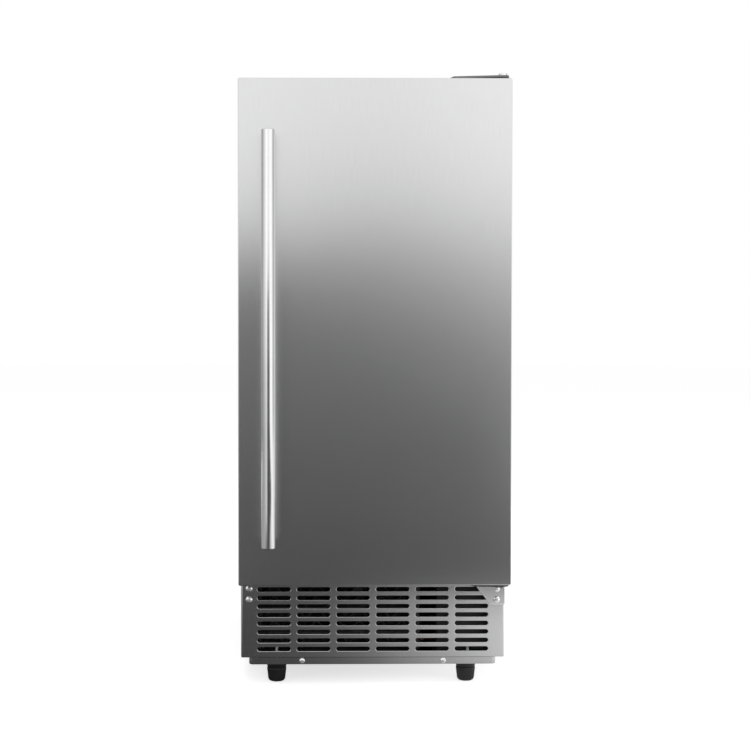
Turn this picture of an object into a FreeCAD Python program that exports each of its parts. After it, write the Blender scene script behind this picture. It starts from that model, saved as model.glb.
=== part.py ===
"""Built-in under-counter ice maker: a foamed cabinet over a front-breathing machine bay.

Millimetres, +Z up. The front faces -Y and the door hangs on the right-hand side, +X.
The origin is on the floor, in the middle of the overall footprint. Behind the door are the
control housing, the vertical cube evaporator with its water curtain, the water trough with its
pump, and the ice bin. Under the bin are the condenser, the fan and the compressor.
"""

import FreeCAD
import Part
import math
import os
from FreeCAD import Vector

# ---------------------------------------------------------------------------
# Driving dimensions
# ---------------------------------------------------------------------------
# Cabinet
cabinet_width = 376.0
cabinet_depth = 530.0        # front face of the cabinet to the back panel
cabinet_height = 824.5       # underside of the base pan to the top
sheet = 1.0                  # outer sheet metal
frame_width = 24.0           # steel frame round the door opening
rear_flange = 16.0           # folded rear edge of the side sheets
cabinet_bend = 3.0           # outside radius of the folded top corners
sheet_gap = 0.6              # gap between panels that are fitted side by side

# Base pan and levelling feet
pan_height = 10.0
pan_sheet = 1.5
pan_inset = 13.0             # the pan is narrower than the cabinet by this, each side
pan_setback = 3.0            # front wall of the pan, behind the cabinet's front face
pan_corner = 8.0
pan_flange_margin = 2.0      # the pan's side flanges stop this far inside the cabinet
foot_height = 31.5           # floor to the underside of the pan
foot_spacing = 272.0         # between the left and right feet
foot_setback = 42.0          # foot axis behind the cabinet's front face, and ahead of the back
foot_top_radius = 14.0
foot_floor_radius = 11.5
collar_height = 11.0
foot_flutes = 12
foot_flute_depth = 1.1
stud_radius = 5.0
stud_sides = 12

# Machine bay and its ceiling
hump_depth = 230.0           # raised rear part of the bay, over the compressor
hump_height = 130.0
bay_front_lap = 5.0          # the bay's ceiling is this far above the door's lower edge
lower_band_height = 30.0     # steel band under the door opening

# Foam and liner
foam_side = 30.0
foam_top = 32.0
foam_rear = 38.0
foam_floor = 36.0
liner_wall = 3.0
liner_corner = 9.0
lip_height = 36.0            # lip that holds the ice back, above the bin's floor

# Door
door_width = 378.0
door_height = 699.0
door_thickness = 42.0
door_sheet = 1.0
door_corner = 2.5
hem_width = 10.0
door_top_gap = 2.0           # door to the cabinet's top level
gasket_gap = 10.0            # back of the door to the front of the cabinet
gasket_width = 14.0
gasket_inset = 12.0          # gasket behind the edge of the door
gasket_clearance = 0.3       # free air between the gasket and the cabinet
dart_width = 4.0
dart_depth = 5.0
inner_panel = 2.0            # the door's plastic inner panel
dike_depth = 12.0
dike_edge = 2.0
dike_border = 45.0
dike_clearance = 13.0        # dike to the walls of the liner

# Handle
handle_diameter = 19.0
handle_gap = 35.0            # between the bar and the door
handle_inset = 42.0          # bar axis from the door's left edge
handle_drop = 73.0           # top of the bar below the top of the door
handle_rise = 56.0           # foot of the bar above the door's lower edge
post_radius = 6.0
post_inset = 62.0            # post axis from the end of the bar
post_stud_radius = 3.0
post_stud_depth = 12.0
backing_half = 14.0          # plate behind the skin that each post is bolted to
backing_thickness = 2.0

# Hinges
pin_side_inset = 11.0        # pin axis from the door's right edge
pin_front_inset = 15.0       # pin axis behind the door's front
pin_radius = 4.0
pin_engagement = 16.0
pin_head_radius = 6.8
bush_wall = 3.0
bush_sides = 16
bush_length = 20.0
bush_flange = 1.7
running_clearance = 0.08
hinge_plate = 3.0
hinge_nose = 9.0             # radius of the plate round the pin
hinge_screw_spacing = 15.5
hinge_screw_inset = 13.0     # lower hinge screws from the cabinet's side
hinge_screw_drop = 15.0      # upper screw of the lower hinge, below the door

# Screws
screw_radius = 2.0
screw_head_radius = 4.0
screw_head_height = 2.4
screw_length = 9.0
rear_screw_length = 6.0

# Vent grille
slot_columns = 6
slot_rows = 8
slot_length = 47.0
slot_height = 6.0
slot_pitch_x = 55.9
slot_pitch_z = 12.1
slot_floor = 12.1            # lowest row's centre above the panel's lower edge
grille_return = 14.0
grille_bend = 2.0

# Ice-making section
cell_columns = 7
cell_rows = 6
cell_pitch = 30.0
cell_depth = 22.0
cell_wall = 1.6
cell_slope = 4.0             # each shelf falls this far from back to front
coil_radius = 4.0
cheek_thickness = 4.0
evaporator_top_gap = 63.4    # top of the mould below the liner's ceiling
evaporator_rear_gap = 62.0   # evaporator plate to the rear wall
trough_height = 58.0
trough_wall = 2.5
pump_bay = 30.0              # trough beyond the right-hand cheek, for the pump
pump_side_gap = 3.0          # least gap from there to the liner
distributor_radius = 8.0
curtain_thickness = 2.0
curtain_pin_radius = 2.5

# Controls
control_height = 50.0
control_depth = 62.0
control_wall = 2.5
control_rake = 16.0          # the fascia leans back by this much at its foot
button_radius = 8.0
button_sides = 24
button_travel = 1.5
button_clearance = 0.3
button_pitch = 30.0
button_names = ("power", "timer", "clean")

# Machinery
condenser_width = 225.0
condenser_depth = 30.0
condenser_height = 106.0
header_radius = 6.0
flat_tubes = 6
flat_tube = 2.0              # thickness of each flat tube
fin_folds = 14
fin_stock = 1.2
fan_radius = 46.0
fan_tip_clearance = 2.5
fan_blades = 5
hub_radius = 13.0
blade_chord = 30.0
blade_camber = 4.0
blade_stock = 1.4
blade_pitch = 58.0
shroud_depth = 20.0
motor_half = 21.0
motor_depth = 34.0
motor_shaft_radius = 2.5
plate_stock = 3.0
compressor_radius = 60.0
compressor_height = 165.0
grommet_height = 17.0
line_radius = 3.0
line_clearance = 0.3
drier_length = 100.0
chase = 22.0                 # width of the channels in the foam that the lines rise in
inlet_hose_radius = 4.0
inlet_neck_radius = 11.0
gland_radius = 9.0
cord_radius = 4.5            # bore of the gland
drain_radius = 9.0
inlet_thread_radius = 13.2
rear_reach = 20.0            # water connections behind the back panel

# ---------------------------------------------------------------------------
# Places worked out from the dimensions
# ---------------------------------------------------------------------------
flat_turn = 30.0             # turn of a bent line between two of its flats, in degrees
half_width = cabinet_width / 2
inside_x = half_width - sheet
door_half = door_width / 2
handle_length = door_height - handle_drop - handle_rise
handle_reach = handle_gap + handle_diameter
front_reach = gasket_gap + door_thickness + handle_reach

face_y = (front_reach - cabinet_depth - rear_reach) / 2    # front face of the cabinet
back_y = face_y + cabinet_depth                            # outside of the back panel
rear_inside_y = back_y - sheet
door_back_y = face_y - gasket_gap
door_y = door_back_y - door_thickness                      # front face of the door
hump_y = rear_inside_y - hump_depth

pan_z = foot_height
pan_floor_z = pan_z + pan_sheet
floor_z = pan_z + pan_height                               # where cabinet and grille begin
top_z = pan_z + cabinet_height
door_top_z = top_z - door_top_gap
door_z = door_top_z - door_height
bay_z = door_z + bay_front_lap                             # ceiling of the machine bay
bay_rear_z = bay_z + hump_height
band_z = bay_z + lower_band_height

opening_x = half_width - frame_width                       # inner edge of the steel frame
opening_z = top_z - frame_width
liner_x = inside_x - foam_side - liner_wall                # inner faces of the liner
liner_z = top_z - sheet - foam_top - liner_wall
liner_y = rear_inside_y - foam_rear - liner_wall
bin_z = bay_z + sheet + foam_floor + liner_wall
hump_top_z = bay_rear_z + sheet + foam_floor + liner_wall
lip_z = bin_z + lip_height

pin_x = door_half - pin_side_inset
pin_y = door_y + pin_front_inset
bush_radius = pin_radius + running_clearance + bush_wall
grille_z = floor_z + sheet_gap
grille_half = inside_x - sheet_gap
screw_hole = screw_radius + 0.05


# ---------------------------------------------------------------------------
# Shapes that many pieces share
# ---------------------------------------------------------------------------
def block(x, y, z):
    """Box between the (low, high) pairs x, y and z."""
    return Part.makeBox(x[1] - x[0], y[1] - y[0], z[1] - z[0], Vector(x[0], y[0], z[0]))


def rod(start, end, radius):
    """Solid cylinder from one point to another."""
    return Part.makeCylinder(radius, (end - start).Length, start, end - start)


def prism(points, push):
    """Polygon through the points, pushed along a vector."""
    return Part.Face(Part.makePolygon([*points, points[0]])).extrude(push)


def joined(shapes):
    """One solid out of overlapping or touching ones."""
    return shapes[0].multiFuse(shapes[1:]).removeSplitter()


def runs_along(edge, axis):
    """True for a straight edge parallel to the axis."""
    start, end = (v.Point for v in (edge.Vertexes[0], edge.Vertexes[-1]))
    return (end - start).Length > 0 and (end - start).cross(axis).Length < 1e-6


def at(value, target):
    return abs(value - target) < 1e-4


def rounded(shape, radius, wanted):
    """The shape with a fillet on each edge that the test wants."""
    return shape.makeFillet(radius, [e for e in shape.Edges if wanted(e)])


def ring(centre, axis, radius, sides):
    """Regular polygon about an axis, with a corner towards X or, on an axis along X, towards Y."""
    across = Vector(1, 0, 0) if abs(axis.x) < 0.9 else Vector(0, 1, 0)
    first = (across - axis * across.dot(axis)).normalize()
    second = axis.cross(first)
    turns = [2 * math.pi * i / sides for i in range(sides)]
    return [centre + first * (radius * math.cos(a)) + second * (radius * math.sin(a)) for a in turns]


def closed(points):
    return Part.makePolygon([*points, points[0]])


def skinned(rings):
    """Solid through polygons of as many corners each, with one flat facet from each side to the next."""
    faces = [Part.Face(closed(rings[0])), Part.Face(closed(rings[-1]))]
    for low, high in zip(rings, rings[1:]):
        for a, b, c, d in zip(low, low[1:] + low[:1], high[1:] + high[:1], high):
            faces.append(Part.Face(closed([a, b, c, d])))
    solid = Part.Solid(Part.Shell(faces))
    if solid.Volume < 0:
        solid.reverse()
    return solid


def faceted(profile, base, axis=Vector(0, 0, 1), sides=8):
    """Stack of polygonal frustums from (radius, height) stations: for small and hidden turned pieces."""
    stages = [skinned([ring(base + axis * h, axis, r, sides) for r, h in pair])
              for pair in zip(profile, profile[1:]) if pair[1][1] > pair[0][1]]
    return stages[0] if len(stages) == 1 else joined(stages)


def small_rod(start, end, radius, sides=8):
    """Straight bar with flats, for screws, drilled holes and thin rods."""
    axis = (end - start).normalize()
    return Part.Face(closed(ring(start, axis, radius, sides))).extrude(end - start)


def tube(points, radius, bend, sides=6):
    """Line through the points: straight runs joined by bends of one radius, mitred between short flats."""
    path = [points[0]]
    for before, corner, after in zip(points, points[1:], points[2:]):
        back = (before - corner).normalize()
        on = (after - corner).normalize()
        half_turn = (math.pi - back.getAngle(on)) / 2
        inward = (back + on).normalize()
        centre = corner + inward * (bend / math.cos(half_turn))
        steps = max(1, round(2 * half_turn / math.radians(flat_turn)))
        spread = (back - on).normalize()
        for i in range(steps + 1):
            a = half_turn * (1 - 2 * i / steps)
            path.append(centre - inward * (bend * math.cos(a)) + spread * (bend * math.sin(a)))
    path.append(points[-1])
    runs = [(b - a).normalize() for a, b in zip(path, path[1:])]
    section = ring(path[0], runs[0], radius, sides)
    rings = [section]
    for i, here in enumerate(path[1:]):
        plane = (runs[i] + runs[min(i + 1, len(runs) - 1)]).normalize()
        section = [q + runs[i] * ((here - q).dot(plane) / runs[i].dot(plane)) for q in section]
        rings.append(section)
    return skinned(rings)


def pan_head_screw(seat, outward, length=screw_length):
    """Pan-head screw: seat is under the head, outward points out of the panel."""
    head = [(screw_head_radius, 0), (screw_head_radius, screw_head_height * 0.5),
            (screw_head_radius * 0.62, screw_head_height)]
    shank = small_rod(seat - outward * length, seat, screw_radius, 6)
    return joined([faceted(head, seat, outward, 8), shank])


def hex_screw(seat, outward, length=screw_length):
    """Hexagon-head sheet-metal screw."""
    head = small_rod(seat, seat + outward * screw_head_height, screw_head_radius, 6)
    return joined([head, small_rod(seat - outward * length, seat, screw_radius, 6)])


def drilled(seat, outward, length):
    """Hole for a screw, from just outside its seat."""
    return small_rod(seat - outward * length, seat + outward, screw_hole, 6)


def mirrored(shape):
    """The same piece on the other side of the cabinet."""
    return shape.mirror(Vector(), Vector(1, 0, 0))


# ---------------------------------------------------------------------------
# Cabinet shell
# ---------------------------------------------------------------------------
def is_top_fold(edge, height):
    return runs_along(edge, Vector(0, 1, 0)) and at(edge.Vertexes[0].Z, height)


def wrapper_outside():
    """Outside of the folded wrapper, as a solid."""
    whole = block((-half_width, half_width), (face_y, rear_inside_y), (floor_z, top_z))
    return rounded(whole, cabinet_bend, lambda e: is_top_fold(e, top_z))


def wrapper_inside(y, low_z):
    """Space inside the wrapper between two depths, from low_z up."""
    space = block((-inside_x, inside_x), y, (low_z, top_z - sheet))
    return rounded(space, cabinet_bend - sheet, lambda e: is_top_fold(e, top_z - sheet))


def hinge_screw_points():
    """Seats of the two screws of a lower hinge, on the right-hand side."""
    x = half_width - hinge_screw_inset
    z = door_z - hinge_screw_drop
    return [Vector(x, face_y, z), Vector(x, face_y, z - hinge_screw_spacing)]


nut_plate = 3.0
hinge_screw_reach = grille_return + nut_plate
nut_plate_width = 22.0
nut_plate_height = 40.0


def cabinet_wrapper():
    """Side and top sheet in one piece, with its front frame and its foot flanges."""
    outside = wrapper_outside()
    space = wrapper_inside((face_y - 1, rear_inside_y + 1), floor_z - 1)
    frame_slab = block((-half_width, half_width), (face_y, face_y + sheet), (bay_z, top_z))
    frame = outside.common(frame_slab)
    frame = frame.cut(block((-opening_x, opening_x), (face_y - 1, face_y + 2 * sheet),
                            (bay_z - 1, opening_z)))
    foot = block((inside_x - pan_inset, inside_x + sheet / 2),
                 (face_y + grille_return + sheet_gap, rear_inside_y),
                 (floor_z, floor_z + sheet))
    # Folded-in plate that the lower hinge is screwed to, on both sides so that the door can swap.
    plate = block((inside_x - nut_plate_width, inside_x + sheet / 2),
                  (face_y + grille_return + sheet_gap, face_y + grille_return + sheet_gap + nut_plate),
                  (bay_z - nut_plate_height - sheet, bay_z - sheet_gap))
    rear = wrapper_rear_flange()
    return joined([outside.cut(space), frame, foot, mirrored(foot), plate, mirrored(plate), rear,
                   mirrored(rear)])


def wrapper_rear_flange():
    """Folded rear edge that the back sheets are screwed to."""
    return block((inside_x - rear_flange, inside_x + sheet / 2), (rear_inside_y - sheet, rear_inside_y),
                 (floor_z + sheet, top_z - sheet))


def bay_ceiling():
    """Stepped sheet between the foam and the machine bay, with the band under the opening."""
    t = sheet
    outline = [
        (face_y, bay_z), (hump_y, bay_z), (hump_y, bay_rear_z), (rear_inside_y - t, bay_rear_z),
        (rear_inside_y - t, bay_rear_z + t), (hump_y - t, bay_rear_z + t), (hump_y - t, bay_z + t),
        (face_y + t, bay_z + t), (face_y + t, band_z), (face_y, band_z),
    ]
    points = [Vector(-inside_x, y, z) for y, z in outline]
    whole = prism(points, Vector(2 * inside_x, 0, 0))
    side_frame = block((opening_x, half_width), (face_y - t, face_y + t), (bay_z - t, band_z + t))
    return whole.cut(side_frame).cut(mirrored(side_frame))


def liner_space(grow):
    """The bin and ice-making space, or with grow the outside of its liner, as a solid."""
    front = face_y - 40
    slope_y = hump_y - foam_floor - liner_wall
    outline = [
        (front, lip_z), (face_y + 12, lip_z), (face_y + 30, bin_z), (slope_y - 16, bin_z),
        (slope_y, hump_top_z), (liner_y, hump_top_z + 8), (liner_y, liner_z), (front, liner_z),
    ]
    wire = Part.makePolygon([Vector(0, y, z) for y, z in [*outline, outline[0]]])
    if grow:
        wire = wire.makeOffset2D(grow, 2)
    width = liner_x + grow
    space = Part.Face(wire).extrude(Vector(width, 0, 0))
    space = space.fuse(mirrored(space)).removeSplitter()
    if grow:
        return space
    return rounded(space, liner_corner,
                   lambda e: runs_along(e, Vector(0, 1, 0)) and at(abs(e.Vertexes[0].X), width)
                   and not at(e.Vertexes[0].Z, lip_z))


def bin_liner(holes):
    """Vacuum-formed liner: the walls, the lip that holds the ice, and the front flange."""
    shell = liner_space(liner_wall)
    flange = block((-opening_x + sheet_gap, opening_x - sheet_gap), (face_y, face_y + liner_wall),
                   (band_z + sheet_gap, opening_z - sheet_gap))
    shell = shell.common(block((-half_width, half_width), (face_y, back_y), (floor_z, top_z)))
    return joined([shell, flange]).cut([liner_space(0), *holes])


def cabinet_foam(foamed_in):
    """Polyurethane between wrapper, liner and bay ceiling, round all that passes through it."""
    body = wrapper_inside((face_y + sheet, rear_inside_y), bay_z + sheet)
    bay = block((-half_width, half_width), (hump_y - sheet, back_y), (floor_z, bay_rear_z + sheet))
    front = block((-opening_x, opening_x), (face_y, face_y + liner_wall), (band_z, opening_z))
    flange = wrapper_rear_flange()
    chases = [block((x - chase / 2, x + chase / 2), (liner_y + liner_wall, rear_inside_y - sheet),
                    (bay_rear_z, z))
              for x, z in ((coil_inlet_x, coil_inlet_z + chase / 2),
                           (coil_outlet_x, coil_outlet_z + chase / 2),
                           (fill_x, fill_z + chase / 2))]
    cross_chase = block((fill_x - chase / 2, valve_x + chase / 2),
                        (liner_y + liner_wall, rear_inside_y - sheet),
                        (bay_rear_z, bay_rear_z + 24 + chase / 2))
    return body.cut([bay, front, liner_space(liner_wall), flange, mirrored(flange), *chases, cross_chase,
                     *foamed_in])


# ---------------------------------------------------------------------------
# Back of the cabinet
# ---------------------------------------------------------------------------
louvre_rows = 6
louvre_columns = 2
louvre_length = 90.0
louvre_height = 4.0
louvre_pitch = 11.0


def slot_cutter(length, height, centre, deep):
    """Slot with rounded ends, each drawn with three flats, in a panel that faces -Y."""
    half, r = length / 2, height / 2
    flat = r * math.tan(math.pi / 8)
    x, y, z = centre
    corners = [(half, flat), (half - r + flat, r), (r - flat - half, r), (-half, flat),
               (-half, -flat), (r - flat - half, -r), (half - r + flat, -r), (half, -flat)]
    return Part.Face(closed([Vector(x + dx, y, z + dz) for dx, dz in corners])).extrude(Vector(0, deep, 0))


def back_panel(holes):
    """Upper back sheet, over the foam."""
    panel = wrapper_outside().common(
        block((-half_width, half_width), (rear_inside_y - sheet, rear_inside_y), (bay_rear_z, top_z)))
    panel.translate(Vector(0, sheet, 0))
    return panel.cut(holes)


def service_cover(holes):
    """Lower back sheet, off for service, with louvres and the connections."""
    panel = block((-half_width, half_width), (rear_inside_y, back_y), (floor_z, bay_rear_z - sheet_gap))
    louvres = []
    for column in range(louvre_columns):
        for row in range(louvre_rows):
            x = -half_width / 2 - 20 + (column - 0.5) * (louvre_length + 16)
            z = (floor_z + bay_rear_z) / 2 + (row - (louvre_rows - 1) / 2) * louvre_pitch + 20
            louvres.append(slot_cutter(louvre_length, louvre_height, (x, rear_inside_y - 1, z), 3 * sheet))
    return panel.cut(louvres).cut(holes)


def rear_screw_points():
    """Seats of the screws of the two back sheets."""
    x = inside_x - rear_flange / 2
    heights = [floor_z + 20, bay_rear_z - 12, bay_rear_z + 14, (bay_rear_z + top_z) / 2, top_z - 14]
    return [Vector(side * x, back_y, z) for side in (-1, 1) for z in heights]


def rail_screw_points():
    """Seats of the two screws that hold the grille to the front wall of the base pan."""
    return [Vector(side * grille_tab_x, face_y + pan_setback, pan_z + pan_height / 2) for side in (-1, 1)]


# ---------------------------------------------------------------------------
# Base pan and feet
# ---------------------------------------------------------------------------
grille_tab_x = 100.0
grille_tab_width = 16.0
pan_half = half_width - pan_inset
nut_radius = 9.0
nut_height = 12.0
pan_edge = 2.5


def foot_points():
    """Name and floor point of each levelling foot."""
    front, rear = face_y + foot_setback, back_y - foot_setback
    left, right = -foot_spacing / 2, foot_spacing / 2
    return {"foot_front_left": Vector(left, front, 0), "foot_front_right": Vector(right, front, 0),
            "foot_rear_left": Vector(left, rear, 0), "foot_rear_right": Vector(right, rear, 0)}


def base_pan(holes):
    """Drawn tray under the machinery: its front wall shows as the narrow rail under the grille."""
    y = (face_y + pan_setback, back_y - pan_setback)
    tray = block((-pan_half, pan_half), y, (pan_z, floor_z))
    tray = rounded(tray, pan_corner, lambda e: runs_along(e, Vector(0, 0, 1)))
    tray = tray.makeChamfer(pan_edge, [e for e in tray.Edges if at(e.BoundBox.ZMax, pan_z)])
    t = pan_sheet
    space = block((-pan_half + t, pan_half - t), (y[0] + t, y[1] - t), (pan_floor_z, floor_z + 1))
    space = rounded(space, pan_corner - t, lambda e: runs_along(e, Vector(0, 0, 1)))
    flange = block((pan_half - pan_corner, half_width - pan_flange_margin),
                   (face_y + grille_return + sheet_gap, y[1]), (floor_z - t, floor_z))
    return joined([tray, flange, mirrored(flange)]).cut([space, *holes])


def fluted_ring(point, height, radius):
    """Outline of the foot's grip at one height: ridges with flutes between them."""
    floor = radius * (1 - foot_flute_depth / foot_top_radius)
    turns = [math.pi * i / foot_flutes for i in range(2 * foot_flutes)]
    return [point + Vector(r * math.cos(a), r * math.sin(a), height)
            for a, r in zip(turns, (radius, floor) * foot_flutes)]


def foot(point):
    """Screw-in foot: tapered cap with grip flutes on a threaded stud."""
    cap_top = foot_height - collar_height - sheet_gap
    rings = [(0, foot_floor_radius - 1.5), (1.6, foot_floor_radius), (cap_top, foot_top_radius)]
    cap = skinned([fluted_ring(point, z, r) for z, r in rings])
    stud = small_rod(point + Vector(0, 0, cap_top - 1), point + Vector(0, 0, foot_height + nut_height - 1),
                     stud_radius, stud_sides)
    return joined([cap, stud])


def leg_socket(point):
    """Collar under the pan with a threaded sleeve through it."""
    low = foot_height - collar_height
    collar = faceted([(foot_top_radius, low), (foot_top_radius + 0.6, pan_z)], point, sides=14)
    sleeve = small_rod(point + Vector(0, 0, pan_z - 1), point + Vector(0, 0, pan_z + nut_height),
                       nut_radius)
    bore = small_rod(point, point + Vector(0, 0, 2 * foot_height), stud_radius + running_clearance,
                     stud_sides)
    return joined([collar, sleeve]).cut(bore)


# ---------------------------------------------------------------------------
# Vent grille
# ---------------------------------------------------------------------------
def vent_grille(holes):
    """Folded stainless kick panel with its rows of slots and two screw tabs."""
    z_top = bay_z - sheet_gap
    deep = (face_y, face_y + grille_return)
    tray = block((-grille_half, grille_half), deep, (grille_z, z_top))
    tray = rounded(tray, grille_bend,
                   lambda e: (runs_along(e, Vector(0, 0, 1)) and at(e.Vertexes[0].Y, face_y))
                   or (runs_along(e, Vector(1, 0, 0)) and at(e.Vertexes[0].Y, face_y)
                       and at(e.Vertexes[0].Z, grille_z)))
    t = sheet
    space = block((-grille_half + t, grille_half - t), (face_y + t, face_y + grille_return + 1),
                  (grille_z + t, z_top + 1))
    tab = block((grille_tab_x - grille_tab_width / 2, grille_tab_x + grille_tab_width / 2),
                (face_y + pan_setback + pan_sheet, face_y + pan_setback + pan_sheet + t),
                (pan_floor_z + 2.5, grille_z + t / 2))
    slots = []
    for column in range(slot_columns):
        for row in range(slot_rows):
            x = (column - (slot_columns - 1) / 2) * slot_pitch_x
            z = grille_z + slot_floor + row * slot_pitch_z
            slots.append(slot_cutter(slot_length, slot_height, (x, face_y - 1, z), sheet + 2))
    body = joined([tray.cut(space), tab, mirrored(tab)])
    return body.cut(Part.makeCompound(slots)).cut(holes)


# ---------------------------------------------------------------------------
# Hinges
# ---------------------------------------------------------------------------
def hinge_nose_plate(points, z):
    """Flat hinge plate: a polygon with a round nose about the pin, one plate thick."""
    push = Vector(0, 0, hinge_plate)
    plate = prism([Vector(x, y, z) for x, y in points], push)
    nose = Part.makeCylinder(hinge_nose, hinge_plate, Vector(pin_x, pin_y, z))
    hole = Part.makeCylinder(pin_radius, 3 * hinge_plate, Vector(pin_x, pin_y, z - hinge_plate))
    return joined([plate, nose]).cut(hole)


top_plate_span = 84.0
top_plate_depth = 46.0


def top_hinge_screw_points():
    right = half_width - 14
    return [Vector(right - i * 27.0, face_y + 32 - i * 1.0, top_z + hinge_plate) for i in range(3)]


def top_hinge_bracket():
    """Flat plate on top of the cabinet with its nose over the door's pin."""
    right = half_width - 3
    points = [(right - top_plate_span, face_y + top_plate_depth), (right, face_y + top_plate_depth),
              (pin_x + hinge_nose, pin_y), (pin_x, pin_y - hinge_nose),
              (pin_x - hinge_nose * 1.6, pin_y - hinge_nose * 0.4), (right - top_plate_span, face_y + 14)]
    plate = hinge_nose_plate(points, top_z)
    holes = [drilled(p, Vector(0, 0, 1), 2 * hinge_plate) for p in top_hinge_screw_points()]
    return plate.cut(holes)


leaf_height = 36.0
leaf_span = 45.0
leaf_foot = 21.0
arm_span = 39.0


def lower_hinge_bracket():
    """Folded bracket: a tapering leaf on the front of the cabinet and an arm under the door."""
    z = door_z - door_top_gap
    right = half_width - 4
    left = right - arm_span
    y = (face_y - hinge_plate, face_y)
    outline = [(right - leaf_span, 0), (right, 0), (right, leaf_height), (right - leaf_foot, leaf_height),
               (right - leaf_span, hinge_plate + 2)]
    leaf = prism([Vector(x, y[0], z - drop) for x, drop in outline], Vector(0, hinge_plate, 0))
    arm_points = [(left, y[1]), (right, y[1]), (pin_x + hinge_nose, pin_y), (pin_x, pin_y - hinge_nose),
                  (left - 10, pin_y - hinge_nose + 3), (left - 16, pin_y + 8), (left - 16, y[1] - 12)]
    arm = hinge_nose_plate(arm_points, z - hinge_plate)
    holes = [drilled(p - Vector(0, hinge_plate, 0), Vector(0, -1, 0),
                     2 * hinge_plate) for p in hinge_screw_points()]
    return joined([leaf, arm]).cut(holes)


def hinge_pins():
    """Upper pin with a round head over its plate, and the lower pin riveted into its arm."""
    base = Vector(pin_x, pin_y, 0)
    up = Vector(0, 0, 1)
    seat = top_z + hinge_plate
    head = faceted([(pin_head_radius, seat), (pin_head_radius, seat + 2.4),
                    (pin_head_radius - 1.8, seat + 3.5)],
                   base, sides=16)
    upper = rod(base + up * (door_top_z - pin_engagement), base + up * (seat + 1), pin_radius)
    low = door_z - door_top_gap - hinge_plate
    rivet = faceted([(pin_head_radius, low - 2), (pin_head_radius, low)], base, sides=16)
    lower = rod(base + up * (low - 1), base + up * (door_z + pin_engagement), pin_radius)
    return [joined([upper, head]), joined([lower, rivet])]


def hinge_screws():
    """Screws of both hinges, and the two that close the spare holes on the left."""
    lower = [pan_head_screw(p - Vector(0, hinge_plate, 0), Vector(0, -1, 0),
                            hinge_plate + hinge_screw_reach)
             for p in hinge_screw_points()]
    spare = [pan_head_screw(Vector(-p.x, p.y, p.z), Vector(0, -1, 0), hinge_screw_reach)
             for p in hinge_screw_points()]
    upper = [pan_head_screw(p, Vector(0, 0, 1),
                            screw_length + hinge_plate) for p in top_hinge_screw_points()]
    return [*lower, *spare, *upper]


# ---------------------------------------------------------------------------
# Door
# ---------------------------------------------------------------------------
def bush_points():
    """(centre of the door's face, way out of the door) at the two hinge pins."""
    return [(Vector(pin_x, pin_y, door_top_z), Vector(0, 0, 1)),
            (Vector(pin_x, pin_y, door_z), Vector(0, 0, -1))]


def hinge_bushes():
    """Flanged plastic sleeves that the door turns on."""
    stages = [(bush_radius, -bush_length), (bush_radius, 0), (bush_radius + 2, 0),
              (bush_radius + 2, bush_flange)]
    return [faceted(stages, seat, out, bush_sides).cut(
        rod(seat - out * (bush_length + 1), seat + out * (bush_flange + 1), pin_radius + running_clearance))
        for seat, out in bush_points()]


def bush_holes():
    return [small_rod(seat - out * bush_length, seat + out * (bush_flange + 1), bush_radius, bush_sides)
            for seat, out in bush_points()]


def door_block(y):
    """The door's outline between two depths, soft at its corners and round its front."""
    whole = block((-door_half, door_half), y, (door_z, door_top_z))
    return rounded(whole, door_corner,
                   lambda e: runs_along(e, Vector(0, 1, 0)) or at(e.BoundBox.YMax, y[0]))


def handle_points():
    """Points on the door's front where the two posts stand."""
    x = -door_half + handle_inset
    top = door_top_z - handle_drop - post_inset
    return [Vector(x, door_y, top), Vector(x, door_y, top - handle_length + 2 * post_inset)]


def door_skin():
    """Folded stainless outer pan with its rear hem."""
    rear = door_back_y - inner_panel
    pan = door_block((door_y, rear))
    t = door_sheet
    space = block((-door_half + t, door_half - t), (door_y + t, rear - t), (door_z + t, door_top_z - t))
    mouth = block((-door_half + hem_width, door_half - hem_width), (rear - 2 * t, rear + 1),
                  (door_z + hem_width, door_top_z - hem_width))
    stud_holes = [small_rod(p - Vector(0, 1, 0), p + Vector(0, 3, 0),
                            post_stud_radius) for p in handle_points()]
    return pan.cut([space, mouth, *bush_holes(), *stud_holes])


def ring_block(outer_x, low_z, high_z, width, y):
    """Rectangular ring of one width round a rectangle, between two depths."""
    whole = block((-outer_x, outer_x), y, (low_z, high_z))
    middle = block((-outer_x + width, outer_x - width), (y[0] - 1, y[1] + 1),
                   (low_z + width, high_z - width))
    return whole.cut(middle)


def gasket_ring(inset, width, y):
    """Ring under the gasket's line, inset from the gasket's outer edge."""
    edge = gasket_inset + inset
    return ring_block(door_half - edge, door_z + edge, door_top_z - edge, width, y)


def dike_ring(grow, y):
    """Raised frame on the inner panel, grown or shrunk all round."""
    x = liner_x - dike_clearance + grow
    return ring_block(x, lip_z + dike_clearance - grow, liner_z - dike_clearance + grow,
                      dike_border + 2 * grow, y)


def door_liner():
    """Plastic inner panel with the raised frame and the channel that grips the gasket."""
    t = inner_panel
    plate = block((-door_half + sheet_gap, door_half - sheet_gap), (door_back_y - t, door_back_y),
                  (door_z + sheet_gap, door_top_z - sheet_gap))
    inset = (gasket_width - dart_width) / 2
    channel = gasket_ring(inset - t, dart_width + 2 * t, (door_back_y - dart_depth - t, door_back_y))
    groove = gasket_ring(inset, dart_width, (door_back_y - dart_depth, door_back_y + 1))
    dike = dike_ring(0, (door_back_y - t, door_back_y + dike_depth))
    hollow = dike_ring(-t, (door_back_y - t - 1, door_back_y + dike_depth - t))
    dike = dike.makeChamfer(dike_edge,
                            [e for e in dike.Edges if at(e.BoundBox.YMin, door_back_y + dike_depth)])
    return joined([plate, channel, dike]).cut([groove, hollow])


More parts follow.
